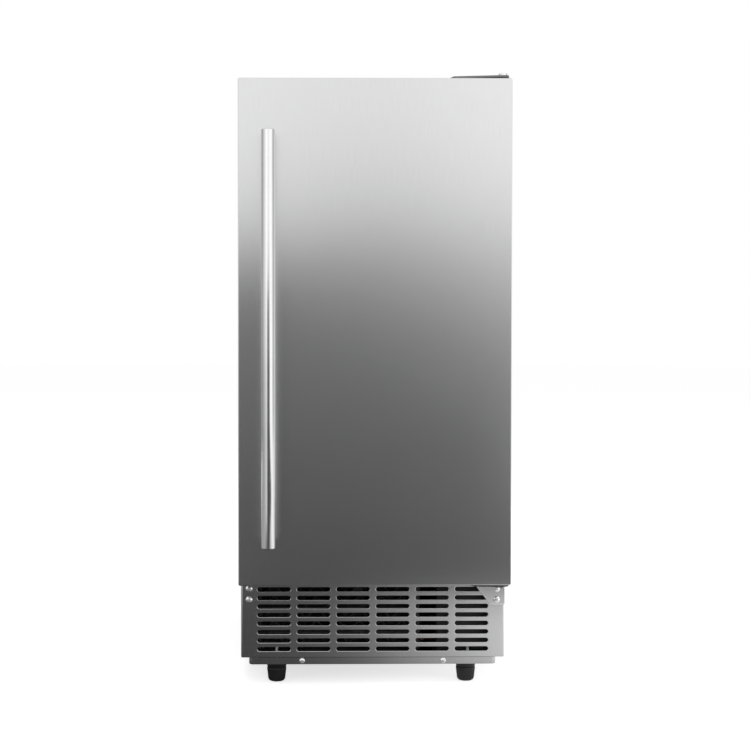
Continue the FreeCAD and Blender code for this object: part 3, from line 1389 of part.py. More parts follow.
# ---------------------------------------------------------------------------
# The assembly
# ---------------------------------------------------------------------------
def assembly():
    """Every node of the object: its name and its solids."""
    mould = Vector(evaporator_x, 0, 0)
    out, front = Vector(0, 1, 0), Vector(0, -1, 0)
    rear_screws = [hex_screw(p, out, rear_screw_length) for p in rear_screw_points()]
    rear_holes = [drilled(p, out, rear_screw_length) for p in rear_screw_points()]
    rail_screws = [pan_head_screw(p, front) for p in rail_screw_points()]
    rail_holes = [drilled(p, front, screw_length) for p in rail_screw_points()]
    hinges = hinge_screws()
    hinge_holes = [drilled(Vector(side * p.x, p.y, p.z), front, hinge_screw_reach)
                   for p in hinge_screw_points() for side in (-1, 1)]
    top_holes = [drilled(p, Vector(0, 0, 1), hinge_plate + screw_length) for p in top_hinge_screw_points()]
    posts = handle_posts()
    feet = foot_points()
    pan_holes = [small_rod(p + Vector(0, 0, pan_z - 1), p + Vector(0, 0, floor_z + 1),
                           nut_radius) for p in feet.values()]
    fill = Vector(fill_x, 0, fill_z)
    rise, fall = Vector(coil_inlet_x, 0, coil_inlet_z), Vector(coil_outlet_x, 0, coil_outlet_z)
    wall_holes = [small_rod(p + Vector(0, liner_y - 1, 0), p + Vector(0, liner_y + liner_wall + 1, 0),
                            r + line_clearance)
                  for p, r in ((fill, inlet_hose_radius), (rise, line_radius), (fall, coil_radius))]
    bay_holes = [small_rod(Vector(x, line_y, bay_rear_z - 1), Vector(x, line_y, bay_rear_z + sheet + 1),
                           r + line_clearance)
                 for x, r in ((coil_inlet_x, line_radius), (coil_outlet_x, coil_radius),
                              (valve_x, inlet_hose_radius))]
    spout = drain_spout(drain_radius - 2, bay_z - 2)
    foam_screws = [*rear_holes, *top_holes]
    cover_holes = [small_rod(Vector(valve_x, rear_inside_y - 1, valve_z),
                             Vector(valve_x, back_y + 1, valve_z),
                             inlet_neck_radius, 12),
                   rod(Vector(drain_x, rear_inside_y - 1, drain_z), Vector(drain_x, back_y + 1, drain_z),
                       drain_radius),
                   small_rod(Vector(gland_x, rear_inside_y - 1, gland_z),
                             Vector(gland_x, back_y + 1, gland_z),
                             gland_radius, 6)]

    nodes = {
        "cabinet_wrapper": [cabinet_wrapper().cut([*hinge_holes, *top_holes, *rear_holes])],
        "bay_ceiling": [bay_ceiling().cut([*bay_holes, spout])],
        "bin_liner": [bin_liner([spout, *wall_holes])],
        "cabinet_foam": cabinet_foam([spout, *foam_screws]).Solids,
        "back_panel": [back_panel(rear_holes)],
        "service_cover": [service_cover([*rear_holes, *cover_holes])],
        "base_pan": [base_pan([*pan_holes, *rail_holes])],
        "vent_grille": [vent_grille([*hinge_holes, *rail_holes])],
        "panel_screws": [*rear_screws, *rail_screws],
        "hinge_screws": hinges,
        "top_hinge_bracket": [top_hinge_bracket()],
        "lower_hinge_bracket": [lower_hinge_bracket()],
        "hinge_pins": hinge_pins(),
        "leg_sockets": [leg_socket(p) for p in feet.values()],
        "evaporator_plate": [evaporator_plate().translated(mould)],
        "evaporator_coil": [evaporator_coil().translated(mould)],
        "evaporator_frame": [evaporator_frame().translated(mould)],
        "distributor_tube": [distributor_tube().translated(mould)],
        "water_trough": [water_trough().translated(mould)],
        "water_pump": [water_pump().translated(mould)],
        "pump_hose": [pump_hose().translated(mould)],
        "ice_level_probe": [ice_level_probe()],
        "control_housing": [control_housing()],
        "display_window": [display_window()],
        "light_lens": [light_lens()],
        "bin_drain": [bin_drain()],
        "drain_hose": [drain_hose()],
        "inlet_valve": [inlet_valve()],
        "inlet_hose": [inlet_hose()],
        "power_gland": [power_gland()],
        "condenser_tubes": [condenser_tubes()],
        "condenser_fins": condenser_fins(),
        "fan_shroud": [fan_shroud()],
        "fan_motor": [fan_motor()],
        "compressor": [compressor()],
        "compressor_grommets": compressor_grommets(),
        "terminal_cover": [terminal_cover()],
        "electrical_box": [electrical_box()],
        "filter_drier": [filter_drier()],
        "hot_gas_valve": [hot_gas_valve()],
        "liquid_line": liquid_line(),
        "suction_line": [suction_line()],
        "discharge_line": [discharge_line()],
        "door_skin": [door_skin()],
        "door_liner": [door_liner()],
        "door_foam": door_foam([*bush_holes(), *posts]).Solids,
        "door_gasket": [door_gasket()],
        "handle_bar": [handle_bar()],
        "handle_posts": posts,
        "hinge_bushes": hinge_bushes(),
        "fan_blade": [fan_blade()],
        "water_curtain": [water_curtain().translated(mould)],
        "level_float": [float_ring().translated(mould)],
    }
    for index, name in enumerate(button_names):
        nodes[f"button_{name}"] = [button(index)]
    for name, point in feet.items():
        nodes[name] = [foot(point)]
    return nodes


def write(nodes):
    """One STEP file for each node."""
    os.makedirs("parts", exist_ok=True)
    for name, solids in nodes.items():
        shape = solids[0] if len(solids) == 1 else Part.makeCompound(solids)
        shape.exportStep(f"parts/{name}.step")
        note = "" if all(s.isValid() and s.Volume > 0 for s in shape.Solids) else " NOT VALID"
        print(f"{name}: {len(shape.Solids)} solid(s), {shape.Volume / 1000:.1f} cm3{note}")


write(assembly())
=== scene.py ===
"""Under-counter ice maker: finishes, refined pieces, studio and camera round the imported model.

+Z is up and the door faces -Y. The scene is in metres, but shapes are worked out in millimetres, as whole arrays,
and piece() scales them.
"""

import math

import bmesh
import bpy
import numpy as np
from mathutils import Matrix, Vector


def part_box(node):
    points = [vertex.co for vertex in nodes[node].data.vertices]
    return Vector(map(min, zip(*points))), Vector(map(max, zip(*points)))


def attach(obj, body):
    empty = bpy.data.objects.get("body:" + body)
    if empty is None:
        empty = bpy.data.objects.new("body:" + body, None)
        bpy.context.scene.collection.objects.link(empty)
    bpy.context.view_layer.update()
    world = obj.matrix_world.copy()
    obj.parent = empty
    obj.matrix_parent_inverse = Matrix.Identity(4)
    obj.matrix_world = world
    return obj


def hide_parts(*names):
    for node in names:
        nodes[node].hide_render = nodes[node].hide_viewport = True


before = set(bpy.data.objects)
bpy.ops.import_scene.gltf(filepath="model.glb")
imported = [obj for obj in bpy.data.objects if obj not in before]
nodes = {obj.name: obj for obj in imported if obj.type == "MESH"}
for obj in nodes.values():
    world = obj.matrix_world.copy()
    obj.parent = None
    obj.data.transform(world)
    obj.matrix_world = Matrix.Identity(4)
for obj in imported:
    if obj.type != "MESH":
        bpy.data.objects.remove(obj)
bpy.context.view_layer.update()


MM = 0.001
X, Y, Z = np.eye(3)
FEET = ("foot_front_left", "foot_front_right", "foot_rear_left", "foot_rear_right")
BUTTONS = ("button_power", "button_timer", "button_clean")
SMALLEST = 0.02  # least corner radius at a rolled edge
OPEN, FIRST, LAST, CLOSED = (False, False), (True, False), (False, True), (True, True)  # closed ends of a grid


def box(node):
    """Low corner, high corner, middle and size of a node's box, in millimetres."""
    low, high = np.array(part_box(node)) / MM
    return low, high, (low + high) / 2, high - low


FACE_Y = box("vent_grille")[0][1]  # front of the cabinet


# Surfaces: each is its vertices and lists of faces


def grid(points, wrap=False, ends=OPEN):
    """Vertices and faces of a grid of points; wrap joins its columns, ends closes its first and last rows."""
    rows, columns = points.shape[:2]
    index = np.arange(rows * columns).reshape(rows, columns)
    right = np.roll(index, -1, 1) if wrap else index[:, 1:]
    left = index if wrap else index[:, :-1]
    quads = np.stack([left[:-1], right[:-1], right[1:], left[1:]], -1).reshape(-1, 4)
    vertices = points.reshape(-1, 3)
    fans = []
    for end, row, turn in ((ends[0], 0, 1), (ends[1], -1, -1)):
        if end:
            centre = np.full(columns, len(vertices))
            vertices = np.vstack([vertices, points[row].mean(0)])
            fans.append(np.stack([np.roll(index[row], -1), index[row], centre], -1)[:, ::turn])
    return vertices, [quads, *fans]


def outline(width, height, radius, steps=8):
    """Rounded rectangle about the origin: a quarter circle in each corner, joined by straight sides."""
    radius = min(radius, width / 2, height / 2)
    angle = np.linspace(0, math.pi / 2, steps + 1) + np.arange(4)[:, None] * math.pi / 2
    sx = np.array([1, -1, -1, 1])[:, None] * (width / 2 - radius)
    sy = np.array([1, 1, -1, -1])[:, None] * (height / 2 - radius)
    return np.stack([sx + radius * np.cos(angle), sy + radius * np.sin(angle)], -1).reshape(-1, 2)


def rings(rows, ends, u=X, v=Z, w=Y, steps=10):
    """Rounded rectangles (width, height, radius, middle across, middle up, depth), each with its own middle."""
    flat = np.array([outline(*row[:3], steps) + row[3:5] for row in rows])
    depth = np.array([row[5] for row in rows])[:, None, None]
    return grid(flat[..., :1] * u + flat[..., 1:] * v + depth * w, wrap=True, ends=ends)


def drawn_in(size, rows, middle, start=0.0):
    """Rows for rings(), out of rows of (inset, radius, depth) drawn in from one width and height."""
    return [(size[0] - 2 * inset, size[1] - 2 * inset, radius, *middle, start + depth) for inset, radius, depth in rows]


def rolled(radius, count):
    """A rolled edge as pairs (inset, depth): a quarter circle from the drawn-in face out to the full side."""
    a = np.linspace(0, math.pi / 2, count)
    return list(zip(radius * (1 - np.sin(a)), radius * (1 - np.cos(a))))


def plate(edge_line, base, u, v, w, thickness, roll):
    """Flat plate: its closed outline drawn in along its own normals by a quarter circle at both faces."""
    along = np.roll(edge_line, -1, 0) - np.roll(edge_line, 1, 0)
    along /= np.linalg.norm(along, axis=1)[:, None]
    inward = np.stack([-along[:, 1], along[:, 0]], -1)
    inset, fall = np.array(rolled(roll, 5)).T
    inset = np.concatenate([[2 * roll], inset, inset[::-1], [2 * roll]])
    depth = np.concatenate([[0], fall, thickness - fall[::-1], [thickness]])
    flat = edge_line + inset[:, None, None] * inward
    points = flat[..., :1] * u + flat[..., 1:] * v + depth[:, None, None] * w + base
    return grid(points, wrap=True, ends=CLOSED)


def soft_block(low, high, edge, corner=None, axis=1):
    """Box with rounded corners and rolled front and back edges: outlines whose inset follows a quarter circle."""
    low, high = np.array(low, float), np.array(high, float)
    u, v, w = np.roll(np.eye(3), -axis - 1, 0)
    width, height, depth = np.roll(high - low, -axis - 1)
    corner = corner or edge
    near = [(i, max(corner - i, SMALLEST), d) for i, d in [(2 * edge, 0), *rolled(edge, 5)]]
    rows = near + [(i, radius, depth - d) for i, radius, d in near[::-1]]
    middle = (low + high) / 2
    return rings(drawn_in((width, height), rows, (middle @ u, middle @ v), low @ w), CLOSED, u, v, w, 8)


def turned(profile, base, axis=Z, sides=48, flutes=0, depth=0.0, ends=CLOSED):
    """Surface of revolution of (radius, height) points; flutes ripple the radius with the cosine of the angle."""
    u = Y if axis[0] else X
    v = np.cross(axis, u)
    angle = np.linspace(0, 2 * math.pi, sides, endpoint=False)
    profile = np.array(profile, float)
    radius = profile[:, :1] * (1 - depth * (0.5 - 0.5 * np.cos(flutes * angle)))
    ring = np.cos(angle)[:, None] * u + np.sin(angle)[:, None] * v
    points = radius[..., None] * ring + profile[:, 1][:, None, None] * axis + base
    return grid(points, wrap=True, ends=ends)


def arc(centre, radius, start, end, steps=8):
    """Points of (radius, height) on a circle between two angles in degrees."""
    a = np.radians(np.linspace(start, end, steps + 1))
    return [(centre[0] + radius * math.cos(t), centre[1] + radius * math.sin(t)) for t in a]


def domed_ends(radius, rise, length, start, count):
    """The two ends of a rod's profile: flat ellipses, from near the axis out to the full radius and back."""
    end = [(radius * math.sin(t), rise * (1 - math.cos(t))) for t in np.linspace(start, math.pi / 2, count)]
    return end, [(out, length - height) for out, height in end[::-1]]


def rounded_path(points, bend, steps=8):
    """Straight runs joined by arcs, each of which touches both the runs at its corner."""
    points = np.array(points, float)
    path = [points[:1]]
    for before, corner, after in zip(points, points[1:], points[2:]):
        runs = np.linalg.norm([before - corner, after - corner], axis=1)
        back, on = (before - corner) / runs[0], (after - corner) / runs[1]
        half = math.acos(np.clip(back @ on, -1, 1)) / 2
        radius = min(bend, 0.49 * min(runs) * math.tan(half))
        inward = (back + on) / np.linalg.norm(back + on)
        spread = (back - on) / np.linalg.norm(back - on)
        centre = corner + inward * radius / math.sin(half)
        swing = math.pi / 2 - half
        a = np.linspace(swing, -swing, steps + 1)[:, None]
        path.append(centre - inward * radius * np.cos(a) + spread * radius * np.sin(a))
    path.append(points[-1:])
    return np.vstack(path)


def rounded_loop(points, bend):
    """Closed polygon whose corners give way to arcs."""
    points = np.array(points, float)
    middle = (points[:1] + points[-1:]) / 2
    return rounded_path(np.vstack([middle, points, middle]), bend, 6)[:-1]


def piece(name, surfaces, body, finish, replaces=(), sharp=38.0, solid=0.0, side=-1.0):
    """One object out of surfaces: doubles merged, faces turned outwards, corners over the sharp angle kept."""
    mesh = bpy.data.meshes.new(name)
    vertices, faces, start = [], [], 0
    for points, parts in surfaces:
        vertices.append(points)
        for part in parts:
            faces.extend((part + start).tolist())
        start += len(points)
    mesh.from_pydata((np.vstack(vertices) * MM).tolist(), [], faces)
    shape = bmesh.new()
    shape.from_mesh(mesh)
    bmesh.ops.remove_doubles(shape, verts=shape.verts, dist=1e-6)
    bmesh.ops.dissolve_degenerate(shape, edges=shape.edges, dist=1e-7)
    bmesh.ops.recalc_face_normals(shape, faces=shape.faces)
    shape.to_mesh(mesh)
    shape.free()
    mesh.polygons.foreach_set("use_smooth", np.ones(len(mesh.polygons), bool))
    mesh.set_sharp_from_angle(angle=math.radians(sharp))
    thing = placed(name, mesh)
    mesh.materials.append(finish)
    if solid:
        wall = thing.modifiers.new("wall", "SOLIDIFY")
        wall.thickness = solid * MM
        wall.offset = side
    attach(thing, body)
    if replaces:
        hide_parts(*([replaces] if isinstance(replaces, str) else replaces))
    return thing


def placed(name, data):
    """An object of this data in the scene."""
    thing = bpy.data.objects.new(name, data)
    bpy.context.scene.collection.objects.link(thing)
    return thing


# Shader nodes


def add(tree, kind, links=None, **values):
    """A shader node with its settings; links joins sockets or values to its inputs, by number or name."""
    node = tree.nodes.new("ShaderNode" + kind)
    for key, value in values.items():
        setattr(node, key, value)
    for socket, source in (links or {}).items():
        if hasattr(source, "links"):
            tree.links.new(source, node.inputs[socket])
        else:
            node.inputs[socket].default_value = source
    return node


def maths(tree, operation, *values, kind="Math"):
    """One sum, of numbers or of vectors."""
    return add(tree, kind, dict(enumerate(values)), operation=operation).outputs[0]


def product(tree, a, b):
    """a times b."""
    return maths(tree, "MULTIPLY", a, b)


def vector_product(tree, a, b):
    """a times b, axis by axis."""
    return maths(tree, "MULTIPLY", a, b, kind="VectorMath")


def remap(tree, value, start, end, low=0.0, high=1.0, **settings):
    """The value carried from the range start to end over to the range low to high."""
    ranges = {"Value": value, "From Min": start, "From Max": end, "To Min": low, "To Max": high}
    return add(tree, "MapRange", ranges, **settings).outputs[0]


def noise(tree, place, scale, **inputs):
    """Noise between 0 and 1 at this place."""
    return add(tree, "TexNoise", {"Vector": place, "Scale": scale, **inputs}).outputs["Fac"]


def effect(name, inputs, output, work):
    """Shader group with sockets (name, default); work makes its one value out of them."""
    group = bpy.data.node_groups.new(name, "ShaderNodeTree")
    for socket, value in inputs:
        kind = "NodeSocketFloat" if isinstance(value, float) else "NodeSocketVector"
        made = group.interface.new_socket(name=socket, in_out="INPUT", socket_type=kind)
        if value is not None:
            made.default_value = value
    group.interface.new_socket(name=output, in_out="OUTPUT", socket_type="NodeSocketFloat")
    given = group.nodes.new("NodeGroupInput")
    value = work(group, *(given.outputs[socket] for socket, _ in inputs))
    group.links.new(value, group.nodes.new("NodeGroupOutput").inputs[output])
    return group


def grouped(tree, group, **inputs):
    """The value of a shader group with these inputs."""
    return add(tree, "Group", inputs, node_tree=group).outputs[0]


def grain(group, place, stretch):
    """Fine brushing: noise drawn out along one direction, about one half."""
    return noise(group, vector_product(group, place, stretch), 1.0, Detail=3.0, Roughness=0.65)


def slow_change(group, place, scale):
    """Slow unevenness of a surface, between 0 and 1 about one half."""
    return noise(group, place, scale, Detail=2.0)


def spangle(group, place, scale):
    """Zinc crystals: each cell of a Voronoi pattern has a tone of its own, softened towards one half."""
    cells = add(group, "TexVoronoi", {"Vector": place, "Scale": scale})
    tone = add(group, "SeparateXYZ", {0: cells.outputs["Color"]}).outputs["X"]
    return product(group, maths(group, "ADD", tone, noise(group, place, 7.0, Detail=2.0)), 0.5)


def dust_fall(group, place, normal, amount):
    """Dust that lies on faces that look up: the normal's rise, broken up by noise."""
    rise = add(group, "SeparateXYZ", {0: normal}).outputs["Z"]
    broken = product(group, remap(group, rise, 0.35, 1.0), noise(group, place, 60.0, Detail=4.0))
    return product(group, broken, amount)


BRUSHING = effect("brushing", [("Vector", None), ("Stretch", (1, 1, 1))], "Value", grain)
MOTTLE = effect("mottle", [("Vector", None), ("Scale", 8.0)], "Value", slow_change)
SPANGLE = effect("spangle", [("Vector", None), ("Scale", 90.0)], "Value", spangle)
DUST = effect("dust", [("Vector", None), ("Normal", None), ("Amount", 0.3)], "Mask", dust_fall)
DUST_COLOUR = (0.42, 0.40, 0.37, 1)


def finish(name, colour, roughness, mottle, metallic=0.0, brushed=None, brush_depth=0.001, spread=0.05, bump=None,
           dust=0.0, tangent=None, pattern=MOTTLE, **sockets):
    """Principled finish: colour and roughness vary with the mottle (scale, share), brushing and dust; bump in mm."""
    material = bpy.data.materials.new(name)
    material.use_nodes = True
    tree = material.node_tree
    surface = tree.nodes["Principled BSDF"]
    place = add(tree, "TexCoord").outputs["Object"]
    slow = grouped(tree, pattern, Vector=place, Scale=mottle[0])
    tone = remap(tree, slow, 0.25, 0.75, 1 - mottle[1], 1 + mottle[1])
    tint = vector_product(tree, colour, tone)
    rough = remap(tree, slow, 0.25, 0.75, roughness - spread, roughness + spread)
    height, depth = None, brush_depth
    if brushed:
        height = grouped(tree, BRUSHING, Vector=place, Stretch=brushed)
        swing = remap(tree, height, 0.3, 0.7, -1.0, 1.0)
        rough = maths(tree, "MULTIPLY_ADD", swing, 0.5 * spread, rough)
        tint = vector_product(tree, tint, maths(tree, "MULTIPLY_ADD", swing, 0.03, 1.0))
    if bump:
        height, depth = noise(tree, place, bump[0], Detail=2.0), bump[1]
    if dust:
        normal = add(tree, "NewGeometry").outputs["Normal"]
        mask = grouped(tree, DUST, Vector=place, Normal=normal, Amount=dust)
        tint = add(tree, "Mix", {0: mask, 6: tint, 7: DUST_COLOUR}, data_type="RGBA").outputs[2]
        rough = maths(tree, "MULTIPLY_ADD", mask, 0.4, rough)
    if height is not None:
        relief = add(tree, "Bump", {"Height": height, "Distance": depth * MM, "Strength": 1.0})
        tree.links.new(relief.outputs[0], surface.inputs["Normal"])
    tree.links.new(tint, surface.inputs["Base Color"])
    tree.links.new(rough, surface.inputs["Roughness"])
    surface.inputs["Metallic"].default_value = metallic
    if tangent:
        way = add(tree, "Tangent", direction_type="RADIAL", axis=tangent)
        tree.links.new(way.outputs[0], surface.inputs["Tangent"])
    for socket, given in sockets.items():
        surface.inputs[socket.replace("_", " ")].default_value = given
    return material


# Finishes

DOOR_STEEL = finish("door_stainless", (0.66, 0.66, 0.665), 0.19, (3, 0.008), 1, brushed=(1500, 1500, 30),
                    brush_depth=0.0007, spread=0.012, tangent="Z", Anisotropic=0.5)
GRILLE_STEEL = finish("grille_stainless", (0.7, 0.7, 0.705), 0.17, (5, 0.01), 1, brushed=(2200, 2200, 60), spread=0.012)
RAIL_STEEL = finish("rail_stainless", (0.62, 0.62, 0.625), 0.2, (12, 0.015), 1, brushed=(60, 60, 2200), spread=0.012)
HANDLE_STEEL = finish("handle_satin", (0.74, 0.74, 0.745), 0.17, (20, 0.02), 1, brushed=(60, 60, 2400), spread=0.03)
PLATED = finish("plated_screws", (0.88, 0.88, 0.89), 0.24, (300, 0.05), 1, bump=(900, 0.006))
CHROMED = finish("chromed_pins", (0.8, 0.8, 0.81), 0.08, (200, 0.03), 1, spread=0.03)
COATED = finish("coated_cabinet", (0.02, 0.02, 0.022), 0.5, (5, 0.03), bump=(1500, 0.02), dust=0.03,
                Specular_IOR_Level=0.32)
# Hinge leaf: the bracket's steel painted lighter than the grille's, a painted highlight.
LEAF_PAINTED_LIGHT = finish("hinge_leaf_painted_highlight", (0.8, 0.8, 0.805), 0.2, (30, 0.03), 1, spread=0.03)
# Hinge arm under the door: the same bracket's steel painted near black, painted shade for the door's shadow.
ARM_PAINTED_SHADE = finish("hinge_arm_painted_shade", (0.05, 0.05, 0.052), 0.4, (40, 0.06), 0.5, bump=(700, 0.006))
HINGE = finish("hinge_plate", (0.16, 0.16, 0.165), 0.36, (40, 0.06), 0.8, bump=(700, 0.006))
ZINC = finish("galvanised_sheet", (0.52, 0.53, 0.55), 0.44, (150, 0.1), 0.9, spread=0.08, dust=0.06, pattern=SPANGLE)
BLACK = finish("black_moulding", (0.022, 0.022, 0.024), 0.42, (30, 0.08), bump=(1300, 0.015), dust=0.12)
FOOT = finish("foot_moulding", (0.01, 0.01, 0.01), 0.42, (60, 0.1), bump=(900, 0.01), dust=0.3)
WHITE = finish("white_moulding", (0.78, 0.79, 0.8), 0.4, (12, 0.02), bump=(500, 0.008))
LINER = finish("white_liner", (0.8, 0.81, 0.815), 0.3, (5, 0.006), bump=(700, 0.002), spread=0.008, Coat_Weight=0.25,
               Coat_Roughness=0.12)
GREY = finish("grey_moulding", (0.15, 0.155, 0.16), 0.4, (30, 0.06), bump=(1100, 0.012))
NICKEL = finish("nickel_mould", (0.72, 0.71, 0.69), 0.3, (40, 0.07), 1, spread=0.09)
COPPER = finish("copper_tube", (0.66, 0.34, 0.23), 0.38, (60, 0.16), 1, spread=0.1)
# Liquid line: copper painted dark, painted shade so that it shows no glint through the grille.
COPPER_PAINTED_SHADE = finish("copper_painted_shade", (0.26, 0.15, 0.11), 0.48, (60, 0.16), 1, spread=0.1)
CORE = finish("painted_core", (0.02, 0.02, 0.021), 0.45, (60, 0.12), spread=0.1, dust=0.25)
PRESSED = finish("painted_steel_box", (0.01, 0.01, 0.011), 0.5, (40, 0.1), dust=0.15)
ENAMEL = finish("black_enamel", (0.016, 0.016, 0.018), 0.22, (20, 0.08), dust=0.3, Coat_Weight=0.4, Coat_Roughness=0.15)
GASKET = finish("gasket_vinyl", (0.3, 0.305, 0.31), 0.55, (25, 0.04), bump=(700, 0.01))
RUBBER = finish("black_rubber", (0.018, 0.018, 0.018), 0.62, (40, 0.1), bump=(800, 0.02), dust=0.2)
HOSE = finish("drain_hose_rubber", (0.14, 0.14, 0.145), 0.5, (30, 0.06), bump=(600, 0.01))
SILICONE = finish("pale_silicone", (0.7, 0.73, 0.75), 0.3, (30, 0.03), Transmission_Weight=0.35, IOR=1.41)
FOAM = finish("foam", (0.78, 0.7, 0.48), 0.9, (20, 0.1), bump=(260, 0.3))
CURTAIN = finish("clear_curtain", (0.78, 0.84, 0.88), 0.14, (10, 0.02), spread=0.03, Alpha=0.4, IOR=1.49)
WINDOW = finish("smoked_window", (0.012, 0.013, 0.016), 0.06, (20, 0.05), spread=0.02, Coat_Weight=1)
LENS = finish("frosted_lens", (0.9, 0.92, 0.94), 0.45, (30, 0.02), bump=(400, 0.02))
BUTTON = finish("satin_button", (0.58, 0.59, 0.6), 0.34, (80, 0.04), bump=(900, 0.004))
FLOAT = finish("float_moulding", (0.8, 0.81, 0.82), 0.42, (40, 0.03), bump=(600, 0.02))

CARRIED = (
    (COATED, "cabinet_wrapper bay_ceiling"), (LINER, "bin_liner door_liner"), (FOAM, "cabinet_foam door_foam"),
    (ZINC, "back_panel service_cover fan_motor"), (RAIL_STEEL, "base_pan"), (DOOR_STEEL, "door_skin"),
    (GRILLE_STEEL, "vent_grille lower_hinge_bracket"), (HANDLE_STEEL, "handle_bar handle_posts"),
    (PLATED, "panel_screws hinge_screws"), (HINGE, "top_hinge_bracket"), (CHROMED, "hinge_pins"),
    # the liquid line takes the copper painted dark as painted shade
    (NICKEL, "evaporator_plate"), (WHITE, "evaporator_frame water_trough"), (COPPER_PAINTED_SHADE, "liquid_line"),
    (COPPER, "evaporator_coil ice_level_probe filter_drier hot_gas_valve suction_line discharge_line"),
    (SILICONE, "distributor_tube pump_hose inlet_hose"), (GREY, "control_housing bin_drain inlet_valve"),
    (BLACK, "water_pump power_gland fan_shroud terminal_cover hinge_bushes fan_blade"), (HOSE, "drain_hose"),
    (CORE, "condenser_tubes condenser_fins"), (ENAMEL, "compressor"), (RUBBER, "compressor_grommets"),
    (PRESSED, "electrical_box"), (GASKET, "door_gasket"), (FLOAT, "level_float"), (CURTAIN, "water_curtain"),
    (WINDOW, "display_window"), (LENS, "light_lens"), (BUTTON, " ".join(BUTTONS)),
    (FOOT, " ".join(("leg_sockets", *FEET))),
)
for carried, node_names in CARRIED:
    for node_name in node_names.split():
        nodes[node_name].data.materials.clear()
        nodes[node_name].data.materials.append(carried)


# Door and handle


def door_skin():
    """Folded pan: the front's outline rolls over a quarter circle into the sides, and the rear hem folds in."""
    low, high, *_ = box("door_skin")
    low[2] -= 1.5  # the front hangs below the solid
    width, deep, height = high - low
    roll, corner = 1.1, 2.6
    rows = [(15, 1.5, 0), (1.03 * roll, corner - roll, 0), *((i, corner - i, d) for i, d in rolled(roll, 9)),
            (0, corner, deep - 0.6), (0.2, corner, deep - 0.1), (0.6, corner, deep), (10, corner, deep),
            (10, corner, deep - 1)]
    return rings(drawn_in((width, height), rows, (low + high)[::2] / 2, low[1]), FIRST)


def handle_bar():
    """Tube with shallow domed ends: each end is a flat ellipse."""
    low, _, middle, size = box("handle_bar")
    radius, length, rise = size[0] / 2, size[2], 2.6
    foot, head = domed_ends(radius, rise, length, 0.12, 12)
    return turned(foot + [(radius, length / 2)] + head, (*middle[:2], low[2]), sides=96)


def handle_posts():
    """Posts that flare at the door: the radius falls with a quarter circle, then runs straight to the bar."""
    low, high, *_ = box("handle_posts")
    x, bar_y, _ = box("handle_bar")[2]
    door_y = box("door_skin")[0][1]
    flare, neck, inset = 9, 6, 14
    profile = [(0.1, 0), (flare - 0.4, 0), (flare, 0.4), (flare, 1.4)] + arc((flare, 4.4), flare - neck, 270, 180)
    profile += [(neck, door_y - bar_y)]
    return [turned(profile, (x, door_y, z), -Y, ends=FIRST) for z in (low[2] + inset, high[2] - inset)]


piece("door_front", [door_skin()], "door", DOOR_STEEL, "door_skin")
piece("handle_tube", [handle_bar()], "door", HANDLE_STEEL, "handle_bar", sharp=60)
piece("handle_mounts", handle_posts(), "door", HANDLE_STEEL, "handle_posts")


# Slotted grille and rear cover

SLOT_STEPS, SLOT_DEPTH = 16, 1.0
GRILLE_TAB = 6.6  # height of the tabs below the grille's face


def cell_edge(size, offset):
    """Rectangle round a slot with as many points as the slot's outline, at even steps along each side."""
    half = SLOT_STEPS // 2
    knots = np.concatenate([np.linspace(0, 1, half + 1), np.ones(half)])
    quarter = np.stack([knots[::-1], knots], -1)
    sides = [quarter, quarter[::-1] * [-1, 1], -quarter, quarter[::-1] * [1, -1]]
    return np.vstack(sides) * np.array(size) / 2 + offset


def slotted_sheet(face, columns, rows, limits, slot, roll, inward):
    """Sheet with slots: a cell about each blends from its rectangle to the slot, whose edge rolls inwards."""
    (left, right), (bottom, top) = limits
    edges_x = np.concatenate([[left], (columns[1:] + columns[:-1]) / 2, [right]])
    edges_z = np.concatenate([[bottom], (rows[1:] + rows[:-1]) / 2, [top]])
    grows, depths = np.array([(1.15 * roll, 0), *rolled(roll, 4), (0, SLOT_DEPTH)]).T
    depths = np.concatenate([[0], depths])[:, None, None]
    rims = [outline(slot[0] + 2 * g, slot[1] + 2 * g, slot[1] / 2 + g, SLOT_STEPS) for g in grows]
    surfaces = []
    for x, x0, x1 in zip(columns, edges_x, edges_x[1:]):
        for z, z0, z1 in zip(rows, edges_z, edges_z[1:]):
            flat = np.array([cell_edge((x1 - x0, z1 - z0), ((x0 + x1) / 2 - x, (z0 + z1) / 2 - z)), *rims])
            points = np.array([x, face, z]) + flat[..., :1] * X + flat[..., 1:] * Z + depths * inward
            surfaces.append(grid(points, wrap=True))
    return surfaces


def vented_panel(low, high, face, inward, bend, columns, rows, slot, roll):
    """Slotted sheet whose edge rolls a quarter circle into sides that run back by the panel's depth."""
    width, deep, height = high - low
    edge = [(i, max(bend - i, SMALLEST / 2), d) for i, d in rolled(bend, 7)] + [(0, bend, deep)]
    middle = (low + high)[::2] / 2
    rim = rings(drawn_in((width, height), edge, middle, face * inward[1]), OPEN, X, Z, inward, 6)
    limits = (low[0] + bend, high[0] - bend), (low[2] + bend, high[2] - bend)
    return slotted_sheet(face, columns, rows, limits, slot, roll, inward) + [rim]


def vent_grille():
    """Grille of six columns by eight rows of slots, its edges folded back."""
    low, high, middle, _ = box("vent_grille")
    low[2] += GRILLE_TAB
    pitch_x, pitch_z = 55.9, 12.1
    columns = middle[0] + (np.arange(6) - 2.5) * pitch_x
    rows = low[2] + (np.arange(8) + 1) * pitch_z
    return vented_panel(low, high, low[1], Y, 2, columns, rows, (47, 6), 0.75)


def service_cover():
    """Lower rear cover with two columns of six vent slots, its edges turned in a little."""
    low, high, middle, _ = box("service_cover")
    pitch, raised = 11, 20
    rows = middle[2] + (np.arange(6) - 2.5) * pitch + raised
    return vented_panel(low, high, high[1], -Y, 0.9, np.array([-130, -28]), rows, (86, 4), 0.8)


